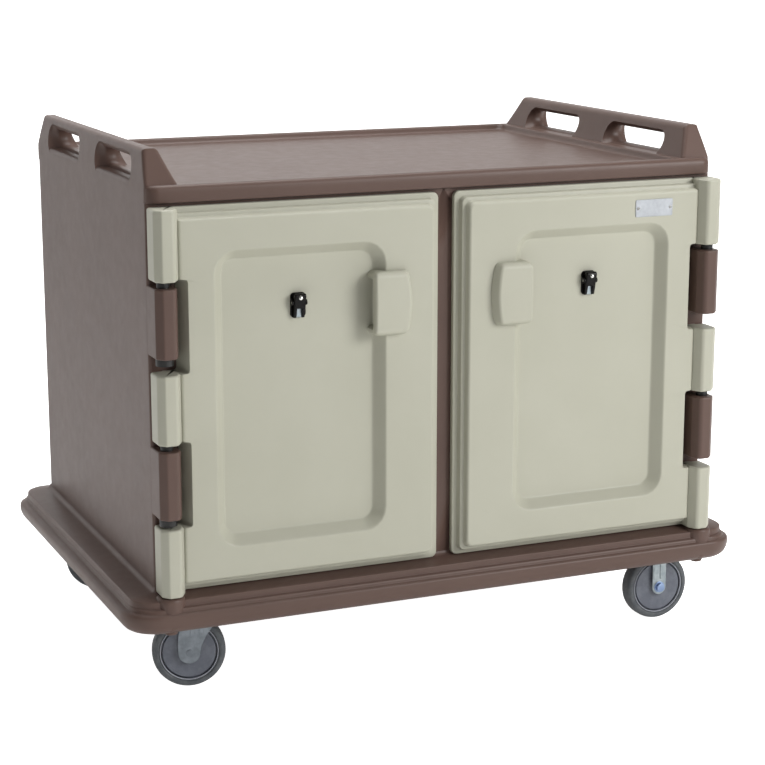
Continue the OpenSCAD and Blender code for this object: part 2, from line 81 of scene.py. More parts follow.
class Side(Named):
    """The two ends of the cart, as the sign of X."""

    LEFT = -1
    RIGHT = 1


class Row(Named):
    """The front and rear pair of casters, as the sign of Y."""

    FRONT = -1
    REAR = 1


# ---------------------------------------------------------------- outlines


def smooth_ramp(values: Points) -> Points:
    """Ease from 0 to 1 with level ends: 3t^2 - 2t^3, held outside 0..1.

    Args:
        values: where to read the ramp.

    Returns:
        The eased values.
    """
    t = np.clip(values, 0.0, 1.0)
    return t * t * (3.0 - 2.0 * t)


def filleted(corners: Sequence, radii: Sequence | float, steps: int = 6, cuts: int = 1) -> Points:
    """Closed outline through corners, each rounded by a circular arc.

    An arc is the slerp of its two radial directions about the fillet's centre. A corner whose
    edges run straight through it gets its points spread along the edge instead.

    Args:
        corners: (M, 2) corner points in order.
        radii: fillet radius of each corner, or one for all.
        steps: arc steps at each corner.
        cuts: extra evenly spaced points on each straight edge, plus one.

    Returns:
        (N, 2) points; N depends only on M, steps and cuts.
    """
    point = np.asarray(corners, float)
    radius = np.broadcast_to(np.asarray(radii, float), (len(point),))[:, None]
    back = np.roll(point, 1, axis=0) - point
    ahead = np.roll(point, -1, axis=0) - point
    back /= np.maximum(np.linalg.norm(back, axis=1, keepdims=True), 1e-9)
    ahead /= np.maximum(np.linalg.norm(ahead, axis=1, keepdims=True), 1e-9)
    dot = np.clip((back * ahead).sum(1, keepdims=True), -1.0, 1.0)
    straight = dot[:, 0] < -0.9999
    half = np.arccos(dot) / 2
    bisector = back + ahead
    bisector /= np.maximum(np.linalg.norm(bisector, axis=1, keepdims=True), 1e-9)
    safe_half = np.where(straight[:, None], math.pi / 4, half)
    centre = point + bisector * radius / np.sin(safe_half)
    reach = radius / np.tan(safe_half)
    first = (point + back * reach - centre) / radius
    last = (point + ahead * reach - centre) / radius
    sweep = np.arccos(np.clip((first * last).sum(1), -1, 1))[:, None, None]
    sweep = np.maximum(sweep, 1e-6)
    s = np.linspace(0, 1, steps + 1)[None, :, None]
    arc = (np.sin((1 - s) * sweep) * first[:, None] + np.sin(s * sweep) * last[:, None]) / np.sin(sweep)
    arc = centre[:, None] + arc * radius[:, None]
    line = point[:, None] + back[:, None] * radius[:, None] * (1 - s) + ahead[:, None] * radius[:, None] * s
    rounded = np.where(straight[:, None, None], line, arc)
    if cuts > 1:
        t = (np.arange(1, cuts) / cuts)[None, :, None]
        start = rounded[:, -1:]
        end = np.roll(rounded[:, :1], -1, axis=0)
        rounded = np.concatenate([rounded, start + (end - start) * t], axis=1)
    return rounded.reshape(-1, 2)


def rectangle(
    x0: float, x1: float, y0: float, y1: float, radius: float, steps: int = 8, cuts: int = 6
) -> Points:
    """Rounded rectangle outline between two corners.

    Args:
        x0, x1, y0, y1: the sides.
        radius: corner radius.
        steps: arc steps at each corner.
        cuts: pieces that each straight edge is cut into.

    Returns:
        (N, 2) outline.
    """
    return filleted([(x0, y0), (x1, y0), (x1, y1), (x0, y1)], radius, steps, cuts)


def hull_outline(points: Points) -> Points:
    """Convex outline of a few points, by the monotone chain.

    Args:
        points: (K, 2) points.

    Returns:
        (N, 2) hull, counterclockwise.
    """
    order = points[np.lexsort((points[:, 1], points[:, 0]))]

    def chain(rows: Points) -> list:
        kept: list = []
        for row in rows:
            while len(kept) > 1 and np.cross(kept[-1] - kept[-2], row - kept[-2]) <= 0:
                kept.pop()
            kept.append(row)
        return kept[:-1]

    return np.array(chain(order) + chain(order[::-1]))


def disc(cx: float, cy: float, radius: float, count: int = 48) -> Points:
    """Circle of points about a centre.

    Args:
        cx, cy: centre.
        radius: radius.
        count: number of points.

    Returns:
        (count, 2) points.
    """
    a = np.linspace(0, 2 * math.pi, count, endpoint=False)
    return np.stack([cx + radius * np.cos(a), cy + radius * np.sin(a)], axis=1)


def drawn_in(outline: Points, distance: float) -> Points:
    """Outline moved inwards along its own normals.

    Args:
        outline: (N, 2) closed outline.
        distance: how far in; negative moves out.

    Returns:
        (N, 2) moved outline.
    """
    edge = np.roll(outline, -1, axis=0) - outline
    edge /= np.maximum(np.linalg.norm(edge, axis=1, keepdims=True), 1e-9)
    tangent = edge + np.roll(edge, 1, axis=0)
    tangent /= np.maximum(np.linalg.norm(tangent, axis=1, keepdims=True), 1e-9)
    area = 0.5 * np.sum(np.cross(outline, np.roll(outline, -1, axis=0)))
    normal = np.stack([-tangent[:, 1], tangent[:, 0]], axis=1) * np.sign(area)
    return outline + normal * distance


# ---------------------------------------------------------------- surfaces


@dataclass
class Surface:
    """Vertices and faces of a piece, in millimetres."""

    vertices: Points
    faces: list

    def mirrored(self) -> "Surface":
        """The same surface on the other side of the plane X = 0."""
        return Surface(self.vertices * np.array([-1.0, 1.0, 1.0]), [f[::-1] for f in self.faces])

    def on(self, side: Side) -> "Surface":
        """The surface drawn for the right side, put on the side asked for."""
        return self if side is Side.RIGHT else self.mirrored()

    def moved(self, offset: Sequence, turn: float = 0.0) -> "Surface":
        """Turned about Z by turn radians, then moved.

        Args:
            offset: x, y, z to move by.
            turn: angle about Z.

        Returns:
            The placed surface.
        """
        c, s = math.cos(turn), math.sin(turn)
        spin = np.array([[c, -s, 0], [s, c, 0], [0, 0, 1.0]])
        return Surface(self.vertices @ spin.T + np.asarray(offset, float), self.faces)


def joined(*parts: Surface) -> Surface:
    """Several surfaces as one, with their faces renumbered."""
    vertices, faces, base = [], [], 0
    for part in parts:
        vertices.append(part.vertices)
        faces.extend([[i + base for i in f] for f in part.faces])
        base += len(part.vertices)
    return Surface(np.concatenate(vertices), faces)


def loft(loops: Points, wrap: bool = False) -> Surface:
    """Skin over matched closed loops: point i of each loop joins point i of the next.

    Args:
        loops: (V, N, 3) loops.
        wrap: joins the last loop to the first instead of capping both.

    Returns:
        A closed surface.
    """
    loops = np.asarray(loops, float)
    count, around = loops.shape[:2]
    rows = count if wrap else count - 1
    v = np.arange(rows)[:, None]
    u = np.arange(around)[None, :]
    nxt = (u + 1) % around
    up = (v + 1) % count
    quads = np.stack([v * around + u, v * around + nxt, up * around + nxt, up * around + u], axis=-1)
    faces = quads.reshape(-1, 4).tolist()
    if not wrap:
        faces.append(list(range(around))[::-1])
        faces.append(list(range((count - 1) * around, count * around)))
    return Surface(loops.reshape(-1, 3), faces)


def edge_round(radius: float, steps: int = 5) -> Points:
    """Quarter round as (inset, rise) pairs, from the full outline to the flat end."""
    a = np.linspace(0, math.pi / 2, steps + 1)
    return np.stack([radius * (1 - np.cos(a)), radius * np.sin(a)], axis=1)


def pillow(
    outline: Points, low: float, high: float, radius: float, lift: Callable, steps: int = 5
) -> Surface:
    """Flat outline given a thickness, with both its edges rounded.

    Args:
        outline: (N, 2) outline.
        low, high: the two faces along the thickness.
        radius: edge radius.
        lift: turns (outline points, thickness) into (N, 3) points.
        steps: steps in each rounded edge.

    Returns:
        A closed surface.
    """
    rounding = edge_round(radius, steps)
    bottom = [lift(drawn_in(outline, i), low + radius - r) for i, r in rounding[::-1]]
    top = [lift(drawn_in(outline, i), high - radius + r) for i, r in rounding]
    return loft(np.array(bottom + top))


def upright(outline: Points, z: float) -> Points:
    """An outline in X and Y at height z."""
    return np.column_stack([outline, np.full(len(outline), z)])


def facing(outline: Points, y: float) -> Points:
    """An outline in X and Z at depth y."""
    return np.column_stack([outline[:, 0], np.full(len(outline), y), outline[:, 1]])


def sideways(outline: Points, x: float) -> Points:
    """An outline in Y and Z at x."""
    return np.column_stack([np.full(len(outline), x), outline])


def paired(outline: Points, near: float, far: float, radius: float) -> list[Surface]:
    """The same plate on both sides of the plane Y = 0, between two distances from it."""
    return [pillow(outline, *sorted((s * near, s * far)), radius, facing, 4) for s in (-1, 1)]


def lathe(profile: Sequence, count: int = 96, ring: bool = True) -> Surface:
    """Profile turned about the Z axis.

    Args:
        profile: (V, 2) radius and height, in order.
        count: steps round the axis.
        ring: joins the profile's two ends, as on a ring; otherwise a flat cap closes each.

    Returns:
        A closed surface.
    """
    section = np.asarray(profile, float)
    a = np.linspace(0, 2 * math.pi, count, endpoint=False)
    height = np.broadcast_to(section[:, 1:], (len(section), count))
    rings = np.stack([section[:, :1] * np.cos(a), section[:, :1] * np.sin(a), height], axis=-1)
    return loft(rings, wrap=ring)


def turned(profile: Sequence, count: int = 48) -> Surface:
    """Profile from axis to axis turned about Z into a solid."""
    return lathe(profile, count, ring=False)


def both_faces(half: list) -> list:
    """A wheel's section from its outer face, carried on round its inner face."""
    return half + [(radius, -height) for radius, height in half[::-1]]


def laid_along_y(part: Surface, z: float) -> Surface:
    """A surface drawn about the Z axis, laid over so that its axis runs along Y at height z."""
    x, y, h = part.vertices.T
    return Surface(np.stack([x, -h, y + z], axis=1), part.faces)


# ---------------------------------------------------------------- materials


def srgb(code: str) -> tuple:
    """Linear colour of a six-digit hex code."""
    values = np.array([int(code[i : i + 2], 16) / 255 for i in (0, 2, 4)])
    linear = np.where(values <= 0.04045, values / 12.92, ((values + 0.055) / 1.055) ** 2.4)
    return (*linear.tolist(), 1.0)


class Graph:
    """Short-hand for building one material's node tree."""

    def __init__(self, name: str) -> None:
        """Makes the material with its shader and its output.

        Args:
            name: the material's name.
        """
        self.material = bpy.data.materials.new(name)
        self.material.use_nodes = True
        self.material["slot"] = SHARED_SLOTS.get(name, name)
        self.tree = self.material.node_tree
        self.tree.nodes.clear()
        self.shader = self.tree.nodes.new("ShaderNodeBsdfPrincipled")
        output = self.tree.nodes.new("ShaderNodeOutputMaterial")
        self.tree.links.new(self.shader.outputs[0], output.inputs[0])
        self.place = self.tree.nodes.new("ShaderNodeTexCoord").outputs["Object"]

    def node(self, kind: str, inputs: dict | None = None, **settings: object) -> bpy.types.Node:
        """Adds a node, sets its properties, and fills or links its inputs.

        Args:
            kind: node type name without its ShaderNode prefix.
            inputs: input name or index to a value or an output socket.
            settings: node properties.

        Returns:
            The new node.
        """
        made = self.tree.nodes.new("ShaderNode" + kind)
        for key, value in settings.items():
            setattr(made, key, value)
        for key, value in (inputs or {}).items():
            if isinstance(value, Socket):
                self.tree.links.new(value, made.inputs[key])
            else:
                made.inputs[key].default_value = value
        return made

    def noise(
        self, scale: float, detail: float = 3.0, roughness: float = 0.5, stretch: tuple | None = None
    ) -> Socket:
        """Noise over the piece's own space.

        Args:
            scale: cells a metre.
            detail: octaves.
            roughness: weight of the finer octaves.
            stretch: scale of each axis before the noise is read.

        Returns:
            The factor socket.
        """
        place = self.place
        if stretch:
            place = self.node("Mapping", {"Vector": place, "Scale": stretch}).outputs[0]
        inputs = {"Vector": place, "Scale": scale, "Detail": detail, "Roughness": roughness}
        return self.node("TexNoise", inputs).outputs["Fac"]

    def ramp(
        self, factor: Socket, low: float, high: float, start: float = 0.0, end: float = 1.0
    ) -> Socket:
        """Maps a factor between low and high onto start to end, clamped."""
        return self.node(
            "MapRange", {"Value": factor, "From Min": low, "From Max": high, "To Min": start, "To Max": end}
        ).outputs[0]

    def mix(self, factor: Socket | float, a: object, b: object) -> Socket:
        """Blends two colours.

        Args:
            factor: socket or amount.
            a, b: colour sockets or values.

        Returns:
            The colour socket.
        """
        return self.node("Mix", {0: factor, 6: a, 7: b}, data_type="RGBA").outputs[2]

    def math(self, operation: str, a: object, b: object = 0.5) -> Socket:
        """Arithmetic on two sockets or values."""
        return self.node("Math", {0: a, 1: b}, operation=operation).outputs[0]

    def bump(
        self, height: Socket, distance: float, strength: float = 1.0, under: Socket | None = None
    ) -> Socket:
        """Bumps the normal by a height given in metres times distance."""
        inputs = {"Height": height, "Distance": distance, "Strength": strength}
        if under is not None:
            inputs["Normal"] = under
        return self.node("Bump", inputs).outputs[0]

    def finish(
        self, colour: object, roughness: object, normal: Socket | None = None, **constant: float
    ) -> Material:
        """Joins everything to the shader.

        Args:
            colour: base colour, socket or value.
            roughness: socket or value.
            normal: normal socket.
            constant: shader inputs set as plain values, with _ for a space.

        Returns:
            The material.
        """
        for name, value in (("Base Color", colour), ("Roughness", roughness), ("Normal", normal)):
            if isinstance(value, Socket):
                self.tree.links.new(value, self.shader.inputs[name])
            elif value is not None:
                self.shader.inputs[name].default_value = value
        for name, value in constant.items():
            self.shader.inputs[name.replace("_", " ")].default_value = value
        return self.material


@dataclass(frozen=True)
class MouldedPlastic:
    """Rotationally moulded plastic: fine pebble, soft mottling and scuffs."""

    name: str
    colour: str
    pale: str
    dark: str
    grain: float = 900.0
    grain_depth: float = 0.00012
    gloss: float = 0.42
    speckle: float = 0.0
    sheen: float = 0.4

    def make(self) -> Material:
        """Builds the material."""
        g = Graph(self.name)
        cloud = g.noise(5.0, 4.0, 0.55)
        patch = g.noise(38.0, 5.0, 0.6)
        colour = g.mix(g.ramp(cloud, 0.35, 0.65), srgb(self.dark), srgb(self.pale))
        colour = g.mix(0.84, colour, srgb(self.colour))
        fine = g.noise(self.grain * 1.4, 2.0, 0.6)
        flecks = g.ramp(fine, 0.56, 0.72, 0.0, self.speckle)
        colour = g.mix(flecks, colour, srgb(self.pale))
        scuff = g.noise(26.0, 6.0, 0.72, (1.0, 1.0, 0.35))
        scuffs = g.ramp(scuff, 0.64, 0.76, 0.0, 0.09)
        colour = g.mix(scuffs, colour, srgb(self.pale))
        rough = g.ramp(patch, 0.3, 0.7, self.gloss - 0.02, self.gloss + 0.04)
        grain = g.noise(self.grain, 2.0, 0.5)
        sag = g.noise(6.0, 1.0, 0.4)
        normal = g.bump(grain, self.grain_depth, 0.8, g.bump(sag, 0.0004, 0.15))
        return g.finish(colour, rough, normal, IOR=1.47, Specular_IOR_Level=self.sheen)


@dataclass(frozen=True)
class BlackPlastic:
    """Black moulded or coated part with a faint grain and dust in the open faces."""

    name: str
    colour: str
    gloss: float
    dust: float = 0.06
    ior: float = 1.5

    def make(self) -> Material:
        """Builds the material."""
        g = Graph(self.name)
        dusty = g.ramp(g.noise(60.0, 5.0, 0.6), 0.5, 0.8, 0.0, self.dust)
        colour = g.mix(dusty, srgb(self.colour), srgb("8a857c"))
        rough = g.ramp(g.noise(90.0, 3.0), 0.3, 0.7, self.gloss - 0.06, self.gloss + 0.08)
        normal = g.bump(g.noise(1400.0, 2.0), 0.00006, 0.6)
        return g.finish(colour, rough, normal, IOR=self.ior)


@dataclass(frozen=True)
class PlatedSteel:
    """Zinc-plated or brushed steel, with a streaked gloss and a faint tint."""

    name: str
    colour: str
    tint: str
    gloss: float
    streak: tuple = (1.0, 1.0, 1.0)
    streak_scale: float = 120.0
    brushed: float = 0.3

    def make(self) -> Material:
        """Builds the material."""
        g = Graph(self.name)
        cloud = g.noise(45.0, 4.0, 0.6)
        colour = g.mix(g.ramp(cloud, 0.35, 0.65), srgb(self.colour), srgb(self.tint))
        lines = g.noise(self.streak_scale, 3.0, 0.6, self.streak)
        rough = g.ramp(lines, 0.3, 0.7, self.gloss - 0.07, self.gloss + 0.1)
        normal = g.bump(lines, 0.00008, self.brushed)
        return g.finish(colour, rough, normal, Metallic=1.0)


@dataclass(frozen=True)
class RollingRubber:
    """Grey non-marking tread: matt, with dust worked into it."""

    name: str
    colour: str
    dust_colour: str
    gloss: float = 0.55

    def make(self) -> Material:
        """Builds the material."""
        g = Graph(self.name)
        dusty = g.ramp(g.noise(55.0, 6.0, 0.65), 0.42, 0.7, 0.0, 0.4)
        colour = g.mix(dusty, srgb(self.colour), srgb(self.dust_colour))
        rough = g.ramp(g.noise(120.0, 4.0), 0.3, 0.7, self.gloss - 0.08, self.gloss + 0.12)
        normal = g.bump(g.noise(700.0, 3.0), 0.0001, 0.6)
        return g.finish(colour, rough, normal)


@dataclass(frozen=True)
class Plain:
    """Backdrop or hidden stuff: one tone with the least unevenness. A glow shows as white to the
    camera and lights the cart only dimly."""

    name: str
    colour: str
    rough: float = 0.9
    glow: float = 0.0

    def make(self) -> Material:
        """Builds the material."""
        g = Graph(self.name)
        tone = g.mix(g.ramp(g.noise(3.0), 0.3, 0.7, 0.0, 0.05), srgb(self.colour), srgb("ffffff"))
        if self.glow:
            height = g.node("SeparateXYZ", {0: g.place}).outputs["Z"]
            glow = g.ramp(height, 0.0, 1.6, 0.24, self.glow)
            g.shader.inputs["Emission Color"].default_value = srgb("ffffff")
            seen = g.node("LightPath").outputs["Is Camera Ray"]
            g.tree.links.new(g.math("MAXIMUM", glow, seen), g.shader.inputs["Emission Strength"])
        return g.finish(tone, self.rough)


class Finishes:
    """Every finish of the cart, made once."""

    def __init__(self) -> None:
        """Makes the materials."""
        self.shell = MouldedPlastic(
            "shell_plastic", "5a4740", "65524a", "4f3e37", gloss=0.4, speckle=0.2, sheen=0.3
        ).make()
        self.door = MouldedPlastic("door_plastic", "a9a899", "b4b3a5", "a09f8f", speckle=0.1).make()
        self.pin = BlackPlastic("black_pin", "0b0a09", 0.42, 0.0).make()
        self.clip = BlackPlastic("clip_black", "0b0908", 0.3, 0.0, 1.25).make()
        self.gasket = BlackPlastic("gasket_rubber", "1a1918", 0.6).make()
        self.magnet = BlackPlastic("magnet", "2a2a2b", 0.5).make()
        self.rivet = PlatedSteel("bright_rivet", "e4e4e2", "cfcfcd", 0.12).make()
        self.foil = PlatedSteel("plate_foil", "a9acb0", "9fa2a6", 0.55, brushed=0.1).make()
        self.zinc = PlatedSteel("zinc", "8b9197", "777d83", 0.46).make()
        self.bright_zinc = PlatedSteel("bright_zinc", "a3abae", "8f989c", 0.4).make()
        self.bolt = PlatedSteel("zinc_bolt", "93a5c4", "8094b6", 0.4).make()
        self.stainless = PlatedSteel(
            "stainless", "cfd1d2", "c8cacc", 0.5, (1.0, 0.2, 1.0), brushed=0.05
        ).make()
        self.tyre = RollingRubber("tyre_rubber", "4c5054", "77797a").make()
        self.ring = RollingRubber("tyre_ring", "a3a6b0", "b4b6bc", 0.4).make()
        self.hub = RollingRubber("hub_plastic", "5b5f69", "7d818a", 0.4).make()
        self.foam = Plain("foam", "d8c8a0").make()


# ---------------------------------------------------------------- pieces


def piece(
    name: str, surface: Surface, material: Material, body: str,
    nodes: Sequence[str] = (), sharp: float = 40.0,
) -> bpy.types.Object:
    """Puts a surface into a mesh object that rides on a body.

    Args:
        name: the piece's name.
        surface: what to build, in millimetres.
        material: its finish.
        body: the CAD body that carries it.
        nodes: CAD nodes that it stands for.
        sharp: edges that turn by more than this, in degrees, stay sharp.

    Returns:
        The object, at the origin.
    """
    mesh = bpy.data.meshes.new(name)
    mesh.from_pydata((surface.vertices / METRE).tolist(), [], surface.faces)
    work = bmesh.new()
    work.from_mesh(mesh)
    bmesh.ops.remove_doubles(work, verts=work.verts, dist=2e-6)
    bmesh.ops.dissolve_degenerate(work, edges=work.edges, dist=1e-6)
    bmesh.ops.recalc_face_normals(work, faces=work.faces)
    work.to_mesh(mesh)
    work.free()
    mesh.polygons.foreach_set("use_smooth", np.ones(len(mesh.polygons), bool))
    mesh.set_sharp_from_angle(angle=math.radians(sharp))
    mesh.materials.append(material)
    made = bpy.data.objects.new(name, mesh)
    bpy.context.scene.collection.objects.link(made)
    weighted = made.modifiers.new("flat faces stay flat", "WEIGHTED_NORMAL")
    weighted.keep_sharp = True
    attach(made, body)
    if nodes:
        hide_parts(*nodes)
    LOG.info("%s: %d faces on %s", name, len(mesh.polygons), body)
    return made


def span(node: str) -> tuple[Points, Points]:
    """Lowest and highest corners of a CAD node, in millimetres."""
    low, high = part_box(node)
    return np.round(np.array(low) * METRE, 3), np.round(np.array(high) * METRE, 3)


def middle(node: str) -> list[float]:
    """Middle of a CAD node, in millimetres to a hundredth."""
    low, high = span(node)
    return np.round((low + high) / 2, 2).tolist()


def knuckle_section(lay: "Layout", root: float, inner: float, heel: float) -> Points:
    """Plan outline of a hinge knuckle: an end flank, a slanting corner and a nose.

    Args:
        lay: shared sizes.
        root: Y of the face that it grows from.
        inner: how far the flank nearer the door's middle lies from the hinge axis.
        heel: radius of the outer corner at the root.

    Returns:
        (N, 2) outline for the right side.
    """
    x, y, r = lay.hinge_x, lay.hinge_y, lay.knuckle_r
    flank = lay.half_w - 0.2
    corners = [
        (flank, root), (x - inner, root), (x - inner, y - 6), (x - 17, y - r), (x + 8, y - r),
        (flank, y - 13),
    ]
    return filleted(corners, np.array([heel, 0.5, 7.0, 11.0, 6.0, 6.0]), 8, 2)


@dataclass
class Layout:
    """Sizes that several sub-assemblies share, in millimetres. The first four come from the CAD."""

    door_z: float
    door_top: float
    hinge_x: float
    hinge_y: float
    half_w: float = 620.0
    half_d: float = 415.0
    skirt_z: float = 164.0
    ledge_z: float = 234.0
    pocket_z: float = 192.0
    lip_z: float = 1002.0
    lip_top: float = 1036.0
    deck_z: float = 1022.0
    handle_z: float = 1102.0
    knuckle_r: float = 27.0
    door_knuckle: float = 138.0
    body_knuckle: float = 136.0
    door_knuckles: tuple = (0.0, 305.0, 622.0)
    body_knuckles: tuple = (157.0, 474.0)

    @classmethod
    def from_cad(cls) -> "Layout":
        """The layout round the right door and the right hinge's axis."""
        low, high = span("right_door")
        hinge_x, hinge_y, _ = middle("right_hinge_pintles")
        return cls(float(low[2]), float(high[2]), hinge_x, hinge_y)


@dataclass
class Shell:
    """The moulded shell: box, base, deck, end handles and its own knuckles."""

    lay: Layout
    look: Finishes
    cavity: tuple = (32.0, 546.0, 256.0, 972.0)
    cavity_r: float = 24.0
    cavity_back: float = 383.0
    cove_r: float = 14.0
    mouth_r: float = 6.0
    front_round: float = 7.0
    back_round: float = 16.0
    handle_slope: float = 38.0
    handle_outer: float = 613.0
    handle_foot: float = 545.0
    handle_inner: float = 581.0
    hole_half: float = 117.5
    hole_rise: float = 18.0
    hole_y: float = 190.0
    hole_z: float = 1058.0
    handle_round: float = 9.0
    outer_flare: tuple = (13.0, 5.0)
    inner_flare: tuple = (9.0, 3.0)

    def box(self) -> Surface:
        """Half of the insulated box as one cup of matched loops, from the cavity's back out
        over its mouth, the front face and the outer wall to the back, and its mirror image."""
        lay = self.lay
        x0, x1, z0, z1 = self.cavity

        def inner(y: float, inset: float) -> Points:
            r = max(self.cavity_r - inset, 2.0)
            return facing(rectangle(x0 + inset, x1 - inset, z0 + inset, z1 - inset, r), y)

        def outer(y: float, inset: float) -> Points:
            flat = rectangle(0.0, lay.half_w - inset, lay.pocket_z + inset, lay.lip_z - 0.4, 0.05)
            return facing(flat, y)

        cove = edge_round(self.cove_r)
        mouth = edge_round(self.mouth_r)
        front, back = self.mouth_r - lay.half_d, self.cavity_back - self.cove_r
        loops = [inner(back + rise, inset) for inset, rise in cove[::-1]]
        loops += [inner(y, 0.0) for y in np.linspace(back - 16.0, front + 2.0, 8)]
        loops += [inner(front - rise, -inset) for inset, rise in mouth]
        edge = edge_round(self.front_round)
        loops += [outer(-lay.half_d + self.front_round - rise, inset) for inset, rise in edge[::-1]]
        loops += [outer(y, 0.0) for y in np.linspace(-lay.half_d + 20.0, lay.half_d - 20.0, 8)]
        edge = edge_round(self.back_round)
        loops += [outer(lay.half_d - self.back_round + rise, inset) for inset, rise in edge]
        half = loft(np.array(loops))
        flat_x = half.vertices[:, 0]
        half.faces = [f for f in half.faces if len(f) > 4 or any(abs(flat_x[i]) > 1e-6 for i in f)]
        return joined(half, half.mirrored())

    def base(self) -> Surface:
        """The bumper: a section of overhang against height, carried round the box's plan.

        The front and back read the second overhang, the ends the first; both share a height.
        """
        lay = self.lay
        section = np.array(
            [
                (-8, -8, 191), (7, 7, 191), (8, 8, 188), (8, 8, 168), (9, 9, 165.4), (12, 12, 164),
                (48, 44, 164), (54, 50, 165), (60, 55.5, 168.5), (65, 60.5, 174), (69, 64, 182),
                (70.8, 65.8, 190), (71, 66, 196), (70.4, 65.6, 200.6), (69, 64.6, 203.2), (66.5, 62.6, 205),
                (63.5, 60.4, 205.9), (60, 58.8, 206.4), (56.5, 58.2, 207.2), (55, 57.8, 209.8),
                (54.2, 57.1, 212.8), (53.8, 55.6, 214.0), (53.4, 51.6, 214.8), (53.1, 49.8, 215.4),
                (52.8, 49.1, 216.5), (52.2, 48.7, 225.6), (51.2, 48, 227.4), (49, 46.4, 228.2),
                (38, 36, 230.2), (24, 23, 232.4), (10, 11, 234),
                (5.5, 6, 235), (2.2, 3, 237), (0.6, 1, 240), (-0.4, -0.4, 244), (-8, -8, 244),
            ]
        )
        loops = [
            upright(
                rectangle(
                    -lay.half_w - side, lay.half_w + side, -lay.half_d - front, lay.half_d + front,
                    max(2.0, side + 1.0), 14, 24,
                ),
                z,
            )
            for side, front, z in section
        ]
        return loft(np.array(loops), wrap=True)

    def deck(self) -> Surface:
        """Top slab: a lip round a sunk tray, as matched plan loops by height."""
        lay = self.lay
        section = [
            (0, 12, 1001.5), (0, 5, 1001.8), (0, 1.5, 1003.2), (0, 0, 1006), (0, 0, 1020), (0, 0.4, 1026),
            (0.6, 1.8, 1030.5), (3.2, 4.5, 1034), (7, 8, 1035.6), (12, 12, 1036), (76, 20, 1036),
            (79, 23, 1035.2), (81, 25.5, 1033), (82.5, 27.5, 1029), (85, 30, 1025), (89, 34, 1022.8),
            (95, 40, 1022),
        ]
        loops = [
            upright(
                rectangle(
                    -lay.half_w + side, lay.half_w - side, -lay.half_d - 14 + front, lay.half_d + 14 - front,
                    26.0 - min(front, 14.0) * 0.6, 8, 12,
                ),
                z,
            )
            for side, front, z in section
        ]
        return loft(np.array(loops))

    def handle_half(self) -> Surface:
        """Rear half of an end handle: loops that run from its rim through the hand hole and back.

        The rim is a polygon in Y and Z. Each of its points meets the hole's rounded slot where
        the ray from the hole's centre crosses the slot.
        """
        lay = self.lay
        low = lay.lip_z + 6.0
        corner = np.array(
            [
                (0.0, low), (lay.half_d, low), (lay.half_d, lay.lip_top - 2.0),
                (lay.half_d - self.handle_slope, lay.handle_z), (0.0, lay.handle_z),
            ]
        )
        cuts = (40, 8, 26, 56, 22)
        ends = np.roll(corner, -1, axis=0)
        rim = np.concatenate(
            [a + (b - a) * (np.arange(n) / n)[:, None] for a, b, n in zip(corner, ends, cuts)]
        )
        centre = np.array([self.hole_y, self.hole_z])

        def rim_at(inset: float) -> Points:
            moved = rim.copy()
            top = np.clip((rim[:, 1] - lay.lip_top) / (lay.handle_z - lay.lip_top), 0.0, 1.0)
            edge = lay.half_d - self.handle_slope * top
            near_end = rim[:, 0] >= edge - 1e-6
            moved[:, 0] = np.where(near_end, rim[:, 0] - inset, rim[:, 0])
            moved[:, 0] = np.minimum(moved[:, 0], edge - inset)
            moved[:, 1] = np.minimum(rim[:, 1], lay.handle_z - inset)
            return moved

        def slot_at(grow: float, drop: float = 0.0) -> Points:
            ray = rim - centre
            ray /= np.linalg.norm(ray, axis=1, keepdims=True)
            r = self.hole_rise + grow
            flat = self.hole_half - self.hole_rise
            on_flat = r / np.maximum(np.abs(ray[:, 1]), 1e-9)
            c = np.abs(ray[:, 0])
            on_end = flat * c + np.sqrt(np.maximum((flat * c) ** 2 - (flat**2 - r**2), 0.0))
            reach = np.where(on_flat * c <= flat, on_flat, on_end)
            point = centre + ray * reach[:, None]
            point[:, 1] -= drop * np.clip(-ray[:, 1] * 4, 0, 1)
            return point

        def outer_x(points: Points) -> Points:
            rise = np.clip((points[:, 1] - lay.lip_top + 8) / (lay.handle_z - lay.lip_top), 0.0, 1.0)
            return lay.half_w - 0.05 - (lay.half_w - self.handle_outer) * rise**1.4

        def inner_x(points: Points) -> Points:
            rise = np.clip((points[:, 1] - lay.deck_z) / (lay.handle_z - lay.deck_z), 0.0, 1.0)
            return self.handle_foot + (self.handle_inner - self.handle_foot) * rise**0.85

        def put(points: Points, x: Points) -> Points:
            return np.column_stack([x, points])

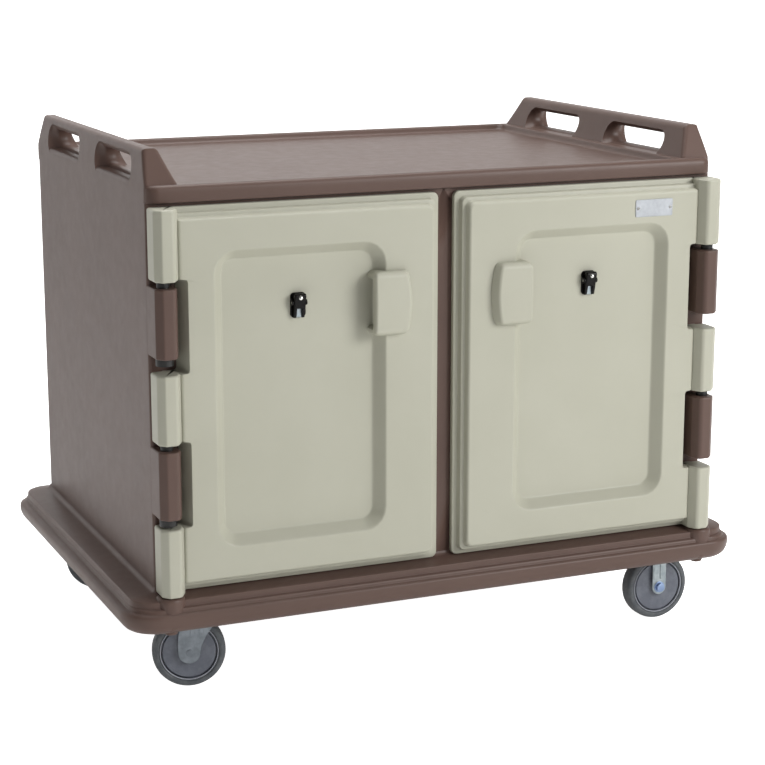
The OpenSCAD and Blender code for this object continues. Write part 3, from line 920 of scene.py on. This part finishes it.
        loops = []
        radius = self.handle_round
        flare, sink = self.outer_flare
        inner_flare, inner_sink = self.inner_flare
        for inset, rise in edge_round(radius, 6):
            flat = rim_at(inset)
            loops.append(put(flat, outer_x(flat) - radius + rise))
        for t in np.linspace(0.15, 0.9, 4):
            flat = rim_at(radius) * (1 - t) + slot_at(flare, sink) * t
            loops.append(put(flat, outer_x(flat)))
        for t in np.linspace(0.0, 1.0, 9):
            grow = flare * (1 - smooth_ramp(t)) ** 1.6
            flat = slot_at(grow, sink * (1 - t))
            depth = 0.5 * t**0.8
            loops.append(put(flat, outer_x(flat) * (1 - depth) + inner_x(flat) * depth - 0.6 * t * (1 - t)))
        for t in np.linspace(0.125, 1.0, 8):
            grow = inner_flare * smooth_ramp(t) ** 1.6
            flat = slot_at(grow, inner_sink * t)
            depth = 0.5 + 0.5 * t**0.8
            loops.append(put(flat, outer_x(flat) * (1 - depth) + inner_x(flat) * depth))
        for t in np.linspace(0.15, 0.9, 4):
            flat = slot_at(inner_flare, inner_sink) * (1 - t) + rim_at(radius) * t
            loops.append(put(flat, inner_x(flat)))
        for inset, rise in edge_round(radius, 6)[::-1]:
            flat = rim_at(inset)
            loops.append(put(flat, inner_x(flat) + radius - rise))
        half = loft(np.array(loops), wrap=True)
        y = half.vertices[:, 1]
        half.faces = [f for f in half.faces if any(abs(y[i]) > 1e-6 for i in f)]
        return half

    def handle(self) -> Surface:
        """Whole right end handle: its rear half and that half turned over to the front."""
        rear = self.handle_half()
        front = Surface(rear.vertices * np.array([1.0, -1.0, 1.0]), [f[::-1] for f in rear.faces])
        return joined(rear, front)

    def knuckle(self, z: float) -> Surface:
        """A shell knuckle with the arm that flows into the box's corner."""
        outline = knuckle_section(self.lay, -self.lay.half_d + 10, 26.0, 0.5)
        return pillow(outline, z, z + self.lay.body_knuckle, 3.5, upright)

    def boss(self) -> Surface:
        """The round boss in the bumper that holds the lowest pintle."""
        lay = self.lay
        low, top = lay.skirt_z, lay.ledge_z + 0.6
        profile = [
            (0.1, low - 7), (11, low - 7), (12.6, low - 6), (13.4, low - 3), (14, low + 1), (24, low + 5),
            (28.5, low + 12), (29, low + 30), (29, top - 12), (28.4, top - 5), (26.5, top - 1.5), (23, top),
            (0.1, top),
        ]
        return turned(profile, 56).moved((lay.hinge_x, lay.hinge_y, 0))

    def build(self) -> None:
        """Builds the shell's pieces; together they stand for the CAD shell."""
        look = self.look
        body = "cart"
        piece("shell_box", self.box(), look.shell, body, ["body_shell"])
        piece("shell_base", self.base(), look.shell, body)
        piece("shell_deck", self.deck(), look.shell, body)
        for side in Side:
            piece(f"{side.word}_end_handle", self.handle().on(side), look.shell, body)
            piece(f"{side.word}_pin_boss", self.boss().on(side), look.shell, body)
            for number, z in enumerate(self.lay.body_knuckles):
                name = f"{side.word}_shell_knuckle_{number + 1}"
                piece(name, self.knuckle(self.lay.door_z + z).on(side), look.shell, body)


@dataclass
class Door:
    """A moulded door with its relief, pull and knuckles, drawn for the right side."""

    lay: Layout
    look: Finishes
    side: Side
    free_x: float = 17.0
    back_y: float = -417.0
    face_y: float = -458.0
    panel: tuple = (141.0, 502.0, 83.0, 677.0)
    panel_r: float = 48.0
    panel_depth: float = 23.0
    panel_slope: float = 25.0
    hinge_step: float = 31.0
    free_step: float = 23.0
    pull_x: tuple = (88.0, 175.0)
    pull_z: tuple = (486.0, 614.0)
    pull_face: float = -480.0
    pull_reach: float = 28.0
    pull_round: float = 12.0

    @property
    def body(self) -> str:
        """The CAD body of this door."""
        return f"{self.side.word}_door_body"

    def rim(self, inset: float, out: float) -> Points:
        """Outline of the door, drawn in: the hinge edge moves further than the others, and the
        two notches that clear the shell's knuckles widen evenly with the depth instead."""
        lay = self.lay
        share = inset / self.free_step
        slope = out / (self.back_y - self.face_y)
        x0, x1 = self.free_x + inset, lay.hinge_x - self.hinge_step * share
        z0, z1 = lay.door_z + inset, lay.door_top - inset
        notch = lay.hinge_x - 33.0 - 14.0 * slope
        corners = [(x0, z0), (x1, z0)]
        for low, high in zip(lay.door_knuckles, lay.door_knuckles[1:]):
            a = lay.door_z + low + lay.door_knuckle - 2.0 * slope
            b = lay.door_z + high + 2.0 * slope
            corners += [(x1, a), (notch, a), (notch, b), (x1, b)]
        corners += [(x1, z1), (x0, z1)]
        radii = [12.0, 4.0] + [4.0, 7.0, 7.0, 4.0] * 2 + [4.0, 12.0]
        return filleted(corners, np.array(radii), 5, 2)

    def panel_rim(self, inset: float) -> Points:
        """Outline of the sunk panel, with points matched to the door's rim."""
        lay = self.lay
        x0, x1 = self.panel[0] + inset, self.panel[1] - inset
        z0, z1 = lay.door_z + self.panel[2] + inset, lay.door_z + self.panel[3] - inset
        r = max(self.panel_r - inset, 8.0)
        marks = []
        for low, high in zip(lay.door_knuckles, lay.door_knuckles[1:]):
            a, b = lay.door_z + low + lay.door_knuckle, lay.door_z + high
            marks += [a - 1.5, a + 16, b - 16, b + 1.5]
        corners = [(x0, z0), (x1, z0)] + [(x1, z) for z in marks] + [(x1, z1), (x0, z1)]
        return filleted(corners, np.array([r, r] + [1.5] * 8 + [r, r]), 5, 2)

    def leaf(self) -> Surface:
        """The door leaf: back, stepped edge, raised field, sloping wall and sunk panel."""
        steps = [
            (2.0, 0.0), (0.6, 0.6), (0.0, 2.0), (0.0, 8.5), (0.4, 10.4), (1.6, 11.7), (3.6, 12.0),
            (8.6, 12.3), (10.2, 13.0), (10.9, 14.6), (11.3, 17.5), (11.7, 22.5), (12.6, 24.9),
            (14.2, 25.8), (18.0, 26.2), (19.4, 26.8), (20.2, 28.4), (20.7, 31.5), (21.2, 35.6),
            (22.4, 38.6), (24.4, 40.4), (27.2, 41.0),
        ]
        loops = [facing(self.rim(inset, out), self.back_y - out) for inset, out in steps]
        wall = np.linspace(0.0, 1.0, 29)
        slope = np.clip(np.minimum(wall, 1.0 - wall) / 0.2, 0.0, 1.0)
        depth = np.concatenate([[0.0], np.cumsum((slope[1:] + slope[:-1]) / 2)])
        depth *= self.panel_depth / depth[-1]
        loops += [
            facing(self.panel_rim(self.panel_slope * t), self.face_y + d) for t, d in zip(wall, depth)
        ]
        return loft(np.array(loops))

    def pull(self) -> Surface:
        """The moulded pull: a plan section carried up Z. Its finger pocket deepens from nothing
        at both ends, and the section shrinks over its rounded ends."""
        left, right = self.pull_x
        low, high = self.pull_z
        slab = self.pull_face + 16.0
        root = self.face_y + 6.0
        floor = self.face_y + self.panel_depth + 3.0
        heights = np.concatenate(
            [low + self.pull_round * (1 - np.cos(np.linspace(0, math.pi / 2, 9))),
             np.linspace(low + 15, high - 15, 40),
             high - self.pull_round * (1 - np.cos(np.linspace(math.pi / 2, 0, 9)))]
        )
        loops = []
        for z in heights:
            end = np.clip(min(z - low, high - z) / self.pull_round, 0.0, 1.0)
            shrink = self.pull_round * (1.0 - math.sqrt(max(0.0, 1.0 - (1.0 - end) ** 2)))
            pocket = self.pull_reach * float(smooth_ramp(np.array((min(z - low, high - z) - 12.0) / 15.0)))
            lip = right - shrink
            inner = lip - pocket
            bow = (2 * (z - low) / (high - low) - 1.0) ** 2
            edge = left + 9.0 * bow + shrink * 0.6
            front = self.pull_face + shrink + 2.5 * bow
            under = max(slab, front + 10.0)
            corners = [
                (edge, root), (edge + 0.5, root - 9), (edge + 9, front + 1),
                (lip - 3, front), (lip, front + 8),
                (lip - 0.5, under), (inner, under + 0.5), (inner, floor - 0.5), (inner - 4, floor),
                (140.0, floor), (138.0, root),
            ]
            radii = [0.3, 4, 8, 5, 3, 2.6, 2.0, 2.0, 0.3, 0.3, 0.3]
            spread = min(1.0, max(0.15, pocket / 8.0 + 0.15))
            radii = [r if i not in (5, 6, 7) else min(r, r * spread) for i, r in enumerate(radii)]
            loops.append(upright(filleted(corners, np.array(radii), 4, 1), self.lay.door_z + z))
        return loft(np.array(loops))

    def knuckle(self, z: float) -> Surface:
        """A door knuckle with the web that joins it to the leaf."""
        outline = knuckle_section(self.lay, self.back_y - 0.4, 29.0, 7.0)
        return pillow(outline, z, z + self.lay.door_knuckle, 5.0, upright)

    def build(self) -> None:
        """Builds the door's pieces; together they stand for the CAD door."""
        word = self.side.word
        piece(f"{word}_door_leaf", self.leaf().on(self.side), self.look.door, self.body, [f"{word}_door"])
        piece(f"{word}_door_pull", self.pull().on(self.side), self.look.door, self.body)
        for number, z in enumerate(self.lay.door_knuckles):
            name = f"{word}_door_knuckle_{number + 1}"
            piece(name, self.knuckle(self.lay.door_z + z).on(self.side), self.look.door, self.body)


@dataclass
class Clip:
    """A black menu clip with a hooded lever, a bright rivet and a two-pronged jaw."""

    look: Finishes
    side: Side
    width: float = 32.0
    pin_stand: float = 9.0

    def __post_init__(self) -> None:
        """Places the clip round the right clip's pin, since it is drawn for the right side."""
        self.x, pin_y, self.pin_z = middle("right_clip_pin")
        self.floor_y = pin_y + self.pin_stand

    def plate(self) -> Surface:
        """Back plate with its edge rounded over."""
        z = self.pin_z - 6
        outline = rectangle(self.x - self.width / 2, self.x + self.width / 2, z - 25, z + 25, 8, 6, 1)
        return pillow(outline, 0.0, 3.0, 1.0, lambda flat, t: facing(flat, self.floor_y - t + 0.2))

    def ears(self) -> Surface:
        """The two round ears that hold the pin."""
        parts = []
        for sign in (-1, 1):
            at = self.x + sign * (self.width / 2 - 2)
            ring = hull_outline(
                np.concatenate([disc(self.floor_y - self.pin_stand, self.pin_z, 5.5, 32),
                                np.array([(self.floor_y, self.pin_z - 8), (self.floor_y, self.pin_z + 8)])])
            )
            parts.append(pillow(ring, at - 1.6, at + 1.6, 0.7, sideways))
        return joined(*parts)

    def lever(self) -> Surface:
        """The hooded lever: a side section whose width swells over the hood and narrows to
        the jaw, which two prongs continue."""
        half = self.width / 2 - 4
        py, pz, fy = self.floor_y - self.pin_stand, self.pin_z, self.floor_y
        hood = [
            (py - 6, pz - 2), (py - 9, pz + 6), (py - 11, pz + 13), (py - 8.5, pz + 18), (py - 3, pz + 18.6),
            (py + 0.5, pz + 15), (py + 2.5, pz + 5), (py + 4, pz - 3), (py + 3.5, pz - 12), (py - 5, pz - 12),
        ]
        outline = filleted(hood, np.array([3, 6, 4, 3.5, 4, 4, 3, 2, 2, 3.0]), 4, 2)
        parts = [pillow(outline, self.x - half, self.x + half, 3.0, sideways, 6)]
        jaw = [
            (py - 5, pz - 9), (py + 3.5, pz - 9), (fy - 3.1, pz - 29), (fy - 6.5, pz - 31.5),
            (py - 0.5, pz - 27),
        ]
        flat = filleted(jaw, np.array([0.5, 0.5, 1.2, 1.6, 3.0]), 4, 2)
        for low, high in ((-half + 0.5, -half + 6.5), (half - 6.5, half - 0.5)):
            parts.append(pillow(flat, self.x + low, self.x + high, 1.2, sideways, 4))
        return joined(*parts)

    def tab(self) -> Surface:
        """The pale card stop that shows between the prongs."""
        outline = rectangle(self.x - 5.4, self.x + 5.4, self.pin_z - 30, self.pin_z - 12, 1.5, 4, 1)
        return pillow(outline, 0.0, 2.0, 0.6, lambda flat, t: facing(flat, self.floor_y - 4.5 - t))

    def rivet(self) -> Surface:
        """Domed rivet head on the hood, turned about Y."""
        a = np.linspace(0, math.pi / 2, 8)
        dome = [(4.6 * math.cos(t) + 0.01, 3.4 * math.sin(t)) for t in a]
        head = turned([(0.05, -2.0), (3.5, -2.0), (4.3, -1.0), *dome], 32)
        x, y, h = head.vertices.T
        placed = np.stack([x + self.x, -h + self.floor_y - 18.6, y + self.pin_z + 10], axis=1)
        return Surface(placed, head.faces)

    def build(self) -> None:
        """Builds the clip on its door."""
        word = self.side.word
        door, lever = f"{word}_door_body", f"{word}_clip"
        plate = joined(self.plate(), self.ears()).on(self.side)
        piece(f"{word}_clip_back", plate, self.look.clip, door, [f"{word}_clip_plate"])
        piece(f"{word}_clip_tab", self.tab().on(self.side), self.look.bright_zinc, door)
        piece(f"{word}_clip_jaw", self.lever().on(self.side), self.look.clip, lever, [f"{word}_clip_lever"])
        piece(f"{word}_clip_stud", self.rivet().on(self.side), self.look.rivet, lever, [f"{word}_clip_rivet"])


@dataclass
class NamePlate:
    """Blank name plate with a slightly raised field."""

    look: Finishes

    def build(self) -> None:
        """Builds the plate, in the place of its CAD node."""
        low, high = span("name_plate")
        outline = rectangle(low[0], high[0], low[2], high[2], 3.0, 5, 1)
        plate = pillow(outline, 0.0, 1.3, 0.4, lambda flat, t: facing(flat, high[1] - t))
        piece("blank_plate", plate, self.look.foil, "right_door_body", ["name_plate"], 12.0)
        field = drawn_in(outline, 2.2)
        raised = pillow(field, 0.0, 1.6, 0.3, lambda flat, t: facing(flat, high[1] - t))
        piece("blank_field", raised, self.look.foil, "right_door_body", sharp=12.0)


@dataclass
class Caster:
    """A caster: fork, wheel and axle, drawn about its swivel axis and put at its corner."""

    look: Finishes
    row: Row
    side: Side
    wheel_r: float = 75.0
    wheel_w: float = 36.0
    tread_r: float = 60.0
    trail: float = 39.0
    turn: float = math.radians(-14.0)
    gap: float = 20.0
    sheet: float = 3.5
    crown: float = 173.0
    plate_z: float = 187.0

    def __post_init__(self) -> None:
        """Finds the upright axis: through the tyre's middle, or a trail ahead of it on a swivel."""
        x, y, _ = middle(f"{self.name}_tyre")
        trail = self.trail if self.swivels else 0.0
        self.at = (x + trail * math.cos(self.turn), y + trail * math.sin(self.turn), 0.0)

    @property
    def name(self) -> str:
        """Prefix of this caster's CAD nodes."""
        return f"{self.row.word}_{self.side.word}"

    @property
    def swivels(self) -> bool:
        """Only the casters at the left end swivel."""
        return self.side is Side.LEFT

    def tyre(self) -> Surface:
        """Tread ring: rounded shoulders and a groove between it and the rim."""
        w, r, t = self.wheel_w / 2, self.wheel_r, self.tread_r
        half = [
            (t, w - 2.4), (t + 1.6, w - 2.2), (t + 2.4, w - 0.8), (t + 3.4, w - 0.2), (t + 6, w),
            (r - 6, w - 0.6), (r - 3.2, w - 2.4), (r - 1.2, w - 5.2), (r - 0.25, w - 9), (r, w - 13),
        ]
        return lathe(both_faces(half), 128)

    def ring(self) -> Surface:
        """The pale bead between tread and hub, on both faces."""
        w, t = self.wheel_w / 2, self.tread_r
        bead = [
            (t - 2.1, w - 4.8), (t - 2.1, w - 1.4), (t - 1.7, w - 0.8), (t - 0.6, w - 0.8),
            (t - 0.1, w - 4.8),
        ]
        low = [(a, -b) for a, b in bead[::-1]]
        return joined(lathe(bead, 128), lathe(low, 128))

    def hub(self) -> Surface:
        """Dished wheel centre: rim band, web with a shallow step, and a boss at the bore."""
        w, t = self.wheel_w / 2, self.tread_r
        half = [
            (6.1, w + 0.9), (13.5, w + 0.9), (15.4, w + 0.2), (16.4, w - 1.4), (18.5, w - 2.6), (26, w - 3.4),
            (38, w - 3.4), (48, w - 2.8), (52.6, w - 2.4), (53.8, w - 2.8), (54.3, w - 4.2), (54.5, w - 9.0),
            (58.2, w - 9.2), (59.9, w - 9.2),
        ]
        return lathe(both_faces(half), 112)

    def foot(self, x: float, radius: float) -> Points:
        """Lower half circle round the axle, from its left end to its right end."""
        a = np.linspace(math.pi, 2 * math.pi, 28)
        return np.stack([x + radius * np.cos(a), self.wheel_r + radius * np.sin(a)], axis=1)

    def leg(self) -> Points:
        """One fork leg as a flat outline: round foot, flaring to the crown on a swivel."""
        if self.swivels:
            x = -self.trail
            top = [
                (x + 25, 88), (x + 34, 108), (x + 50, 132), (26, 150), (30, 160), (30, self.crown - 2),
                (-47, self.crown - 2), (-52, 160), (-59, 130), (x - 23.5, 95),
            ]
            return np.concatenate([self.foot(x, 23.0), np.array(top)])
        return np.concatenate([self.foot(0.0, 17.0), np.array([(17, self.plate_z), (-17, self.plate_z)])])

    def fork(self) -> Surface:
        """Fork pressed from sheet: two legs with raised ribs and a crown, and a rigid one's top plate."""
        reach = self.gap + self.sheet
        parts = paired(self.leg(), self.gap, reach, 1.3)
        if self.swivels:
            crown = rectangle(-47, 30, -reach, reach, 4.0, 5, 1)
            parts.append(pillow(crown, self.crown - 8, self.crown - 0.4, 2.0, upright, 4))
            for x in (-33.0, -15.0):
                rib = rectangle(x - 3.8, x + 3.8, self.crown - 62, self.crown - 14, 3.6, 5, 1)
                parts += paired(rib, reach - 0.6, reach + 2.4, 1.0)
            return joined(*parts)
        for x in (-7.9, 7.9):
            rib = rectangle(x - 6.7, x + 6.7, self.wheel_r + 18, self.plate_z - 8, 2.9, 5, 1)
            parts += paired(rib, reach - 0.6, reach + 1.3, 0.9)
        crown = rectangle(-17, 17, -reach, reach, 2.0, 5, 1)
        parts.append(pillow(crown, self.plate_z - 4, self.plate_z + 0.4, 1.0, upright, 4))
        plate = rectangle(-52, 52, -42, 42, 6.0, 6, 1)
        parts.append(pillow(plate, self.plate_z, self.plate_z + 5, 1.2, upright, 4))
        return joined(*parts)

    def washer(self) -> Surface:
        """Raised washer under the bolt head, on both legs of a rigid caster."""
        reach = self.gap + self.sheet
        parts = []
        for sign in (-1, 1):
            a, b = sorted((sign * (reach - 0.4), sign * (reach + 1.4)))
            disc_profile = [(0.1, a), (12, a), (12.6, a + 0.5), (12.6, b - 0.5), (12, b), (0.1, b)]
            parts.append(laid_along_y(turned(disc_profile, 40), self.wheel_r))
        return joined(*parts)

    def shaft(self) -> Surface:
        """Plain shaft from head to head, through the wheel's bore."""
        reach = self.gap + self.sheet + 1.0
        return laid_along_y(turned([(6.0, -reach), (6.0, reach)], 40), self.wheel_r)

    def head(self, sign: int) -> Surface:
        """End of the axle. On a rigid caster, a hexagon with its corners chamfered to a
        circle (radius limited at both faces); on a swivel one, a low peened cap."""
        base = self.gap + self.sheet + 1.2
        if self.swivels:
            low = base - 1.4
            cap = [(0.1, low), (7.4, low), (7.2, low + 0.9), (5.6, low + 1.5), (0.1, low + 1.7)]
            flat = np.array(cap) * (1.0, sign)
            return laid_along_y(turned(flat[::sign].tolist(), 40), self.wheel_r)
        a = np.linspace(0, 2 * math.pi, 60, endpoint=False)
        wave = np.cos(math.pi / 6) / np.cos((a + math.pi / 6) % (math.pi / 3) - math.pi / 6)
        rows = [
            (0.1, base), (9.0, base), (10.0, base + 0.6), (10.0, base + 5.6), (9.2, base + 6.8),
            (8.2, base + 7.2), (0.1, base + 7.2),
        ]
        rings = []
        for r, h in rows:
            radius = np.minimum(10.0 * wave, r) if r > 9.5 else np.full_like(a, r) * (0.97 + 0.03 * wave)
            x, y = radius * np.cos(a), radius * np.sin(a)
            rings.append(np.column_stack([x, y, np.full_like(a, sign * h)]))
        return laid_along_y(loft(np.array(rings)), self.wheel_r)

    def placed(self, part: Surface, at_wheel: bool) -> Surface:
        """Puts a part drawn at the origin on this caster.

        Args:
            part: what to place.
            at_wheel: drawn about the wheel's centre, not the swivel axis.

        Returns:
            The placed part.
        """
        if not self.swivels:
            return part.moved(self.at)
        if at_wheel:
            part = part.moved((-self.trail, 0.0, 0.0))
        return part.moved(self.at, self.turn)

    def build(self) -> None:
        """Builds the caster's pieces on their bodies."""
        name, look = self.name, self.look
        fork_body = f"{name}_swivel" if self.swivels else "cart"
        wheel_body = f"{name}_wheel"
        fork_finish = look.zinc if self.swivels else look.bright_zinc
        for part, shape, finish, nodes in (
            ("tread", self.tyre(), look.tyre, [f"{name}_tyre"]),
            ("bead", self.ring(), look.ring, []),
            ("centre", self.hub(), look.hub, [f"{name}_hub"]),
        ):
            wheel = self.placed(laid_along_y(shape, self.wheel_r), True)
            piece(f"{name}_{part}", wheel, finish, wheel_body, nodes)
        fork = self.placed(self.fork(), False)
        piece(f"{name}_fork_sheet", fork, fork_finish, fork_body, [f"{name}_fork"])
        bolts = joined(self.shaft(), self.head(-1), self.head(1))
        if not self.swivels:
            bolts = joined(bolts, self.washer())
        bolt_finish = fork_finish if self.swivels else look.bolt
        piece(f"{name}_axle_bolt", self.placed(bolts, True), bolt_finish, fork_body, [f"{name}_axle"])


@dataclass
class CarriedOver:
    """CAD nodes that stay as they are and take a better finish."""

    look: Finishes

    def dress(self, nodes: dict) -> None:
        """Gives each kept node its finish.

        Args:
            nodes: CAD node objects by name.
        """
        look = self.look
        rules = (
            ("insulation", look.foam), ("gasket", look.gasket), ("pintles", look.pin), ("collars", look.pin),
            ("bushings", look.pin), ("magnets", look.magnet), ("strike", look.stainless),
            ("racks", look.stainless), ("screws", look.zinc), ("bolts", look.zinc), ("clip_pin", look.rivet),
            ("rivet", look.rivet), ("clip_", look.clip), ("name_plate", look.foil), ("plate", look.zinc),
            ("axle", look.bolt), ("right_fork", look.bright_zinc), ("fork", look.zinc), ("hub", look.hub),
            ("tyre", look.tyre), ("door", look.door), ("shell", look.shell),
        )
        for name, node in nodes.items():
            finish = next((material for word, material in rules if word in name), None)
            if finish is None:
                raise ValueError(f"no finish is given for the node {name}")
            node.data.materials.clear()
            node.data.materials.append(finish)


# ---------------------------------------------------------------- stage


@dataclass
class Studio:
    """Pale floor that curves up into a backdrop, soft lights and the camera."""

    camera_at: tuple = (-1.716, -4.098, 1.519)
    pitch: float = math.radians(77.28)
    yaw: float = math.radians(-23.26)
    lens: float = 95.86
    sensor: float = 36.0
    aim: tuple = (0.0, 0.0, 0.55)
    fill: float = 0.22
    lamps: tuple = (
        ("key", (3.1, -4.3, 2.7), 2.4, 222.0),
        ("top", (0.3, 0.5, 4.6), 3.0, 170.0),
        ("left", (-4.4, 2.4, 1.9), 1.6, 14.0),
    )

    def floor(self) -> None:
        """Floor and backdrop as one sheet: flat, then a quarter round up to a wall."""
        bend, reach, height, half = 2.0, 5.0, 7.0, 14.0
        a = np.linspace(0, math.pi / 2, 24)
        y = np.concatenate([[-16.0, -6.0], reach + bend * np.sin(a), [reach + bend]])
        z = np.concatenate([[0.0, 0.0], bend * (1 - np.cos(a)), [height]])
        x = np.array([-half, half])
        grid = np.stack(np.meshgrid(x, y, indexing="ij"), axis=-1)
        rise = np.broadcast_to(z, grid.shape[:2])
        vertices = np.concatenate([grid, rise[..., None]], axis=-1).reshape(-1, 3)
        n = len(y)
        faces = [(i, i + n, i + n + 1, i + 1) for i in range(n - 1)]
        mesh = bpy.data.meshes.new("studio_floor")
        mesh.from_pydata(vertices.tolist(), [], faces)
        mesh.polygons.foreach_set("use_smooth", np.ones(len(mesh.polygons), bool))
        mesh.materials.append(Plain("studio_paper", "f7f7f6", 0.95, glow=0.5).make())
        made = bpy.data.objects.new("studio_floor", mesh)
        bpy.context.scene.collection.objects.link(made)

    def light(self, name: str, at: tuple, size: float, power: float) -> None:
        """Adds a square soft light aimed at the cart.

        Args:
            name: the light's name.
            at: its place.
            size: its side in metres.
            power: watts.
        """
        lamp = bpy.data.lights.new(name, "AREA")
        lamp.shape, lamp.size, lamp.energy = "SQUARE", size, power
        made = bpy.data.objects.new(name, lamp)
        made.location = at
        made.rotation_euler = (Vector(self.aim) - Vector(at)).to_track_quat("-Z", "Y").to_euler()
        bpy.context.scene.collection.objects.link(made)

    def surroundings(self) -> None:
        """World that is white to the camera and gives the cart a dim even light."""
        world = bpy.data.worlds.new("studio")
        world.use_nodes = True
        tree = world.node_tree
        background = tree.nodes["Background"]
        background.inputs["Color"].default_value = (1.0, 1.0, 1.0, 1.0)
        path = tree.nodes.new("ShaderNodeLightPath")
        strength = tree.nodes.new("ShaderNodeMath")
        strength.operation = "MAXIMUM"
        strength.inputs[1].default_value = self.fill
        tree.links.new(path.outputs["Is Camera Ray"], strength.inputs[0])
        tree.links.new(strength.outputs[0], background.inputs["Strength"])
        bpy.context.scene.world = world

    def build(self) -> None:
        """Sets the stage."""
        self.floor()
        for lamp in self.lamps:
            self.light(*lamp)
        self.surroundings()
        bpy.context.scene.view_settings.view_transform = "Standard"
        camera = bpy.data.cameras.new("camera")
        camera.lens, camera.sensor_width, camera.clip_end = self.lens, self.sensor, 60.0
        made = bpy.data.objects.new("camera", camera)
        made.location = self.camera_at
        made.rotation_euler = Euler((self.pitch, 0.0, self.yaw))
        bpy.context.scene.collection.objects.link(made)
        bpy.context.scene.camera = made


def main() -> None:
    """Builds the cart round its CAD frame, then the stage."""
    logging.basicConfig(level=logging.INFO, format="%(name)s: %(message)s")
    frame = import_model()
    Studio().build()
    lay, look = Layout.from_cad(), Finishes()
    CarriedOver(look).dress(frame["nodes"])
    Shell(lay, look).build()
    for side in Side:
        Door(lay, look, side).build()
        Clip(look, side).build()
        for row in Row:
            Caster(look, row, side).build()
    NamePlate(look).build()


if __name__ == "__main__":
    main()
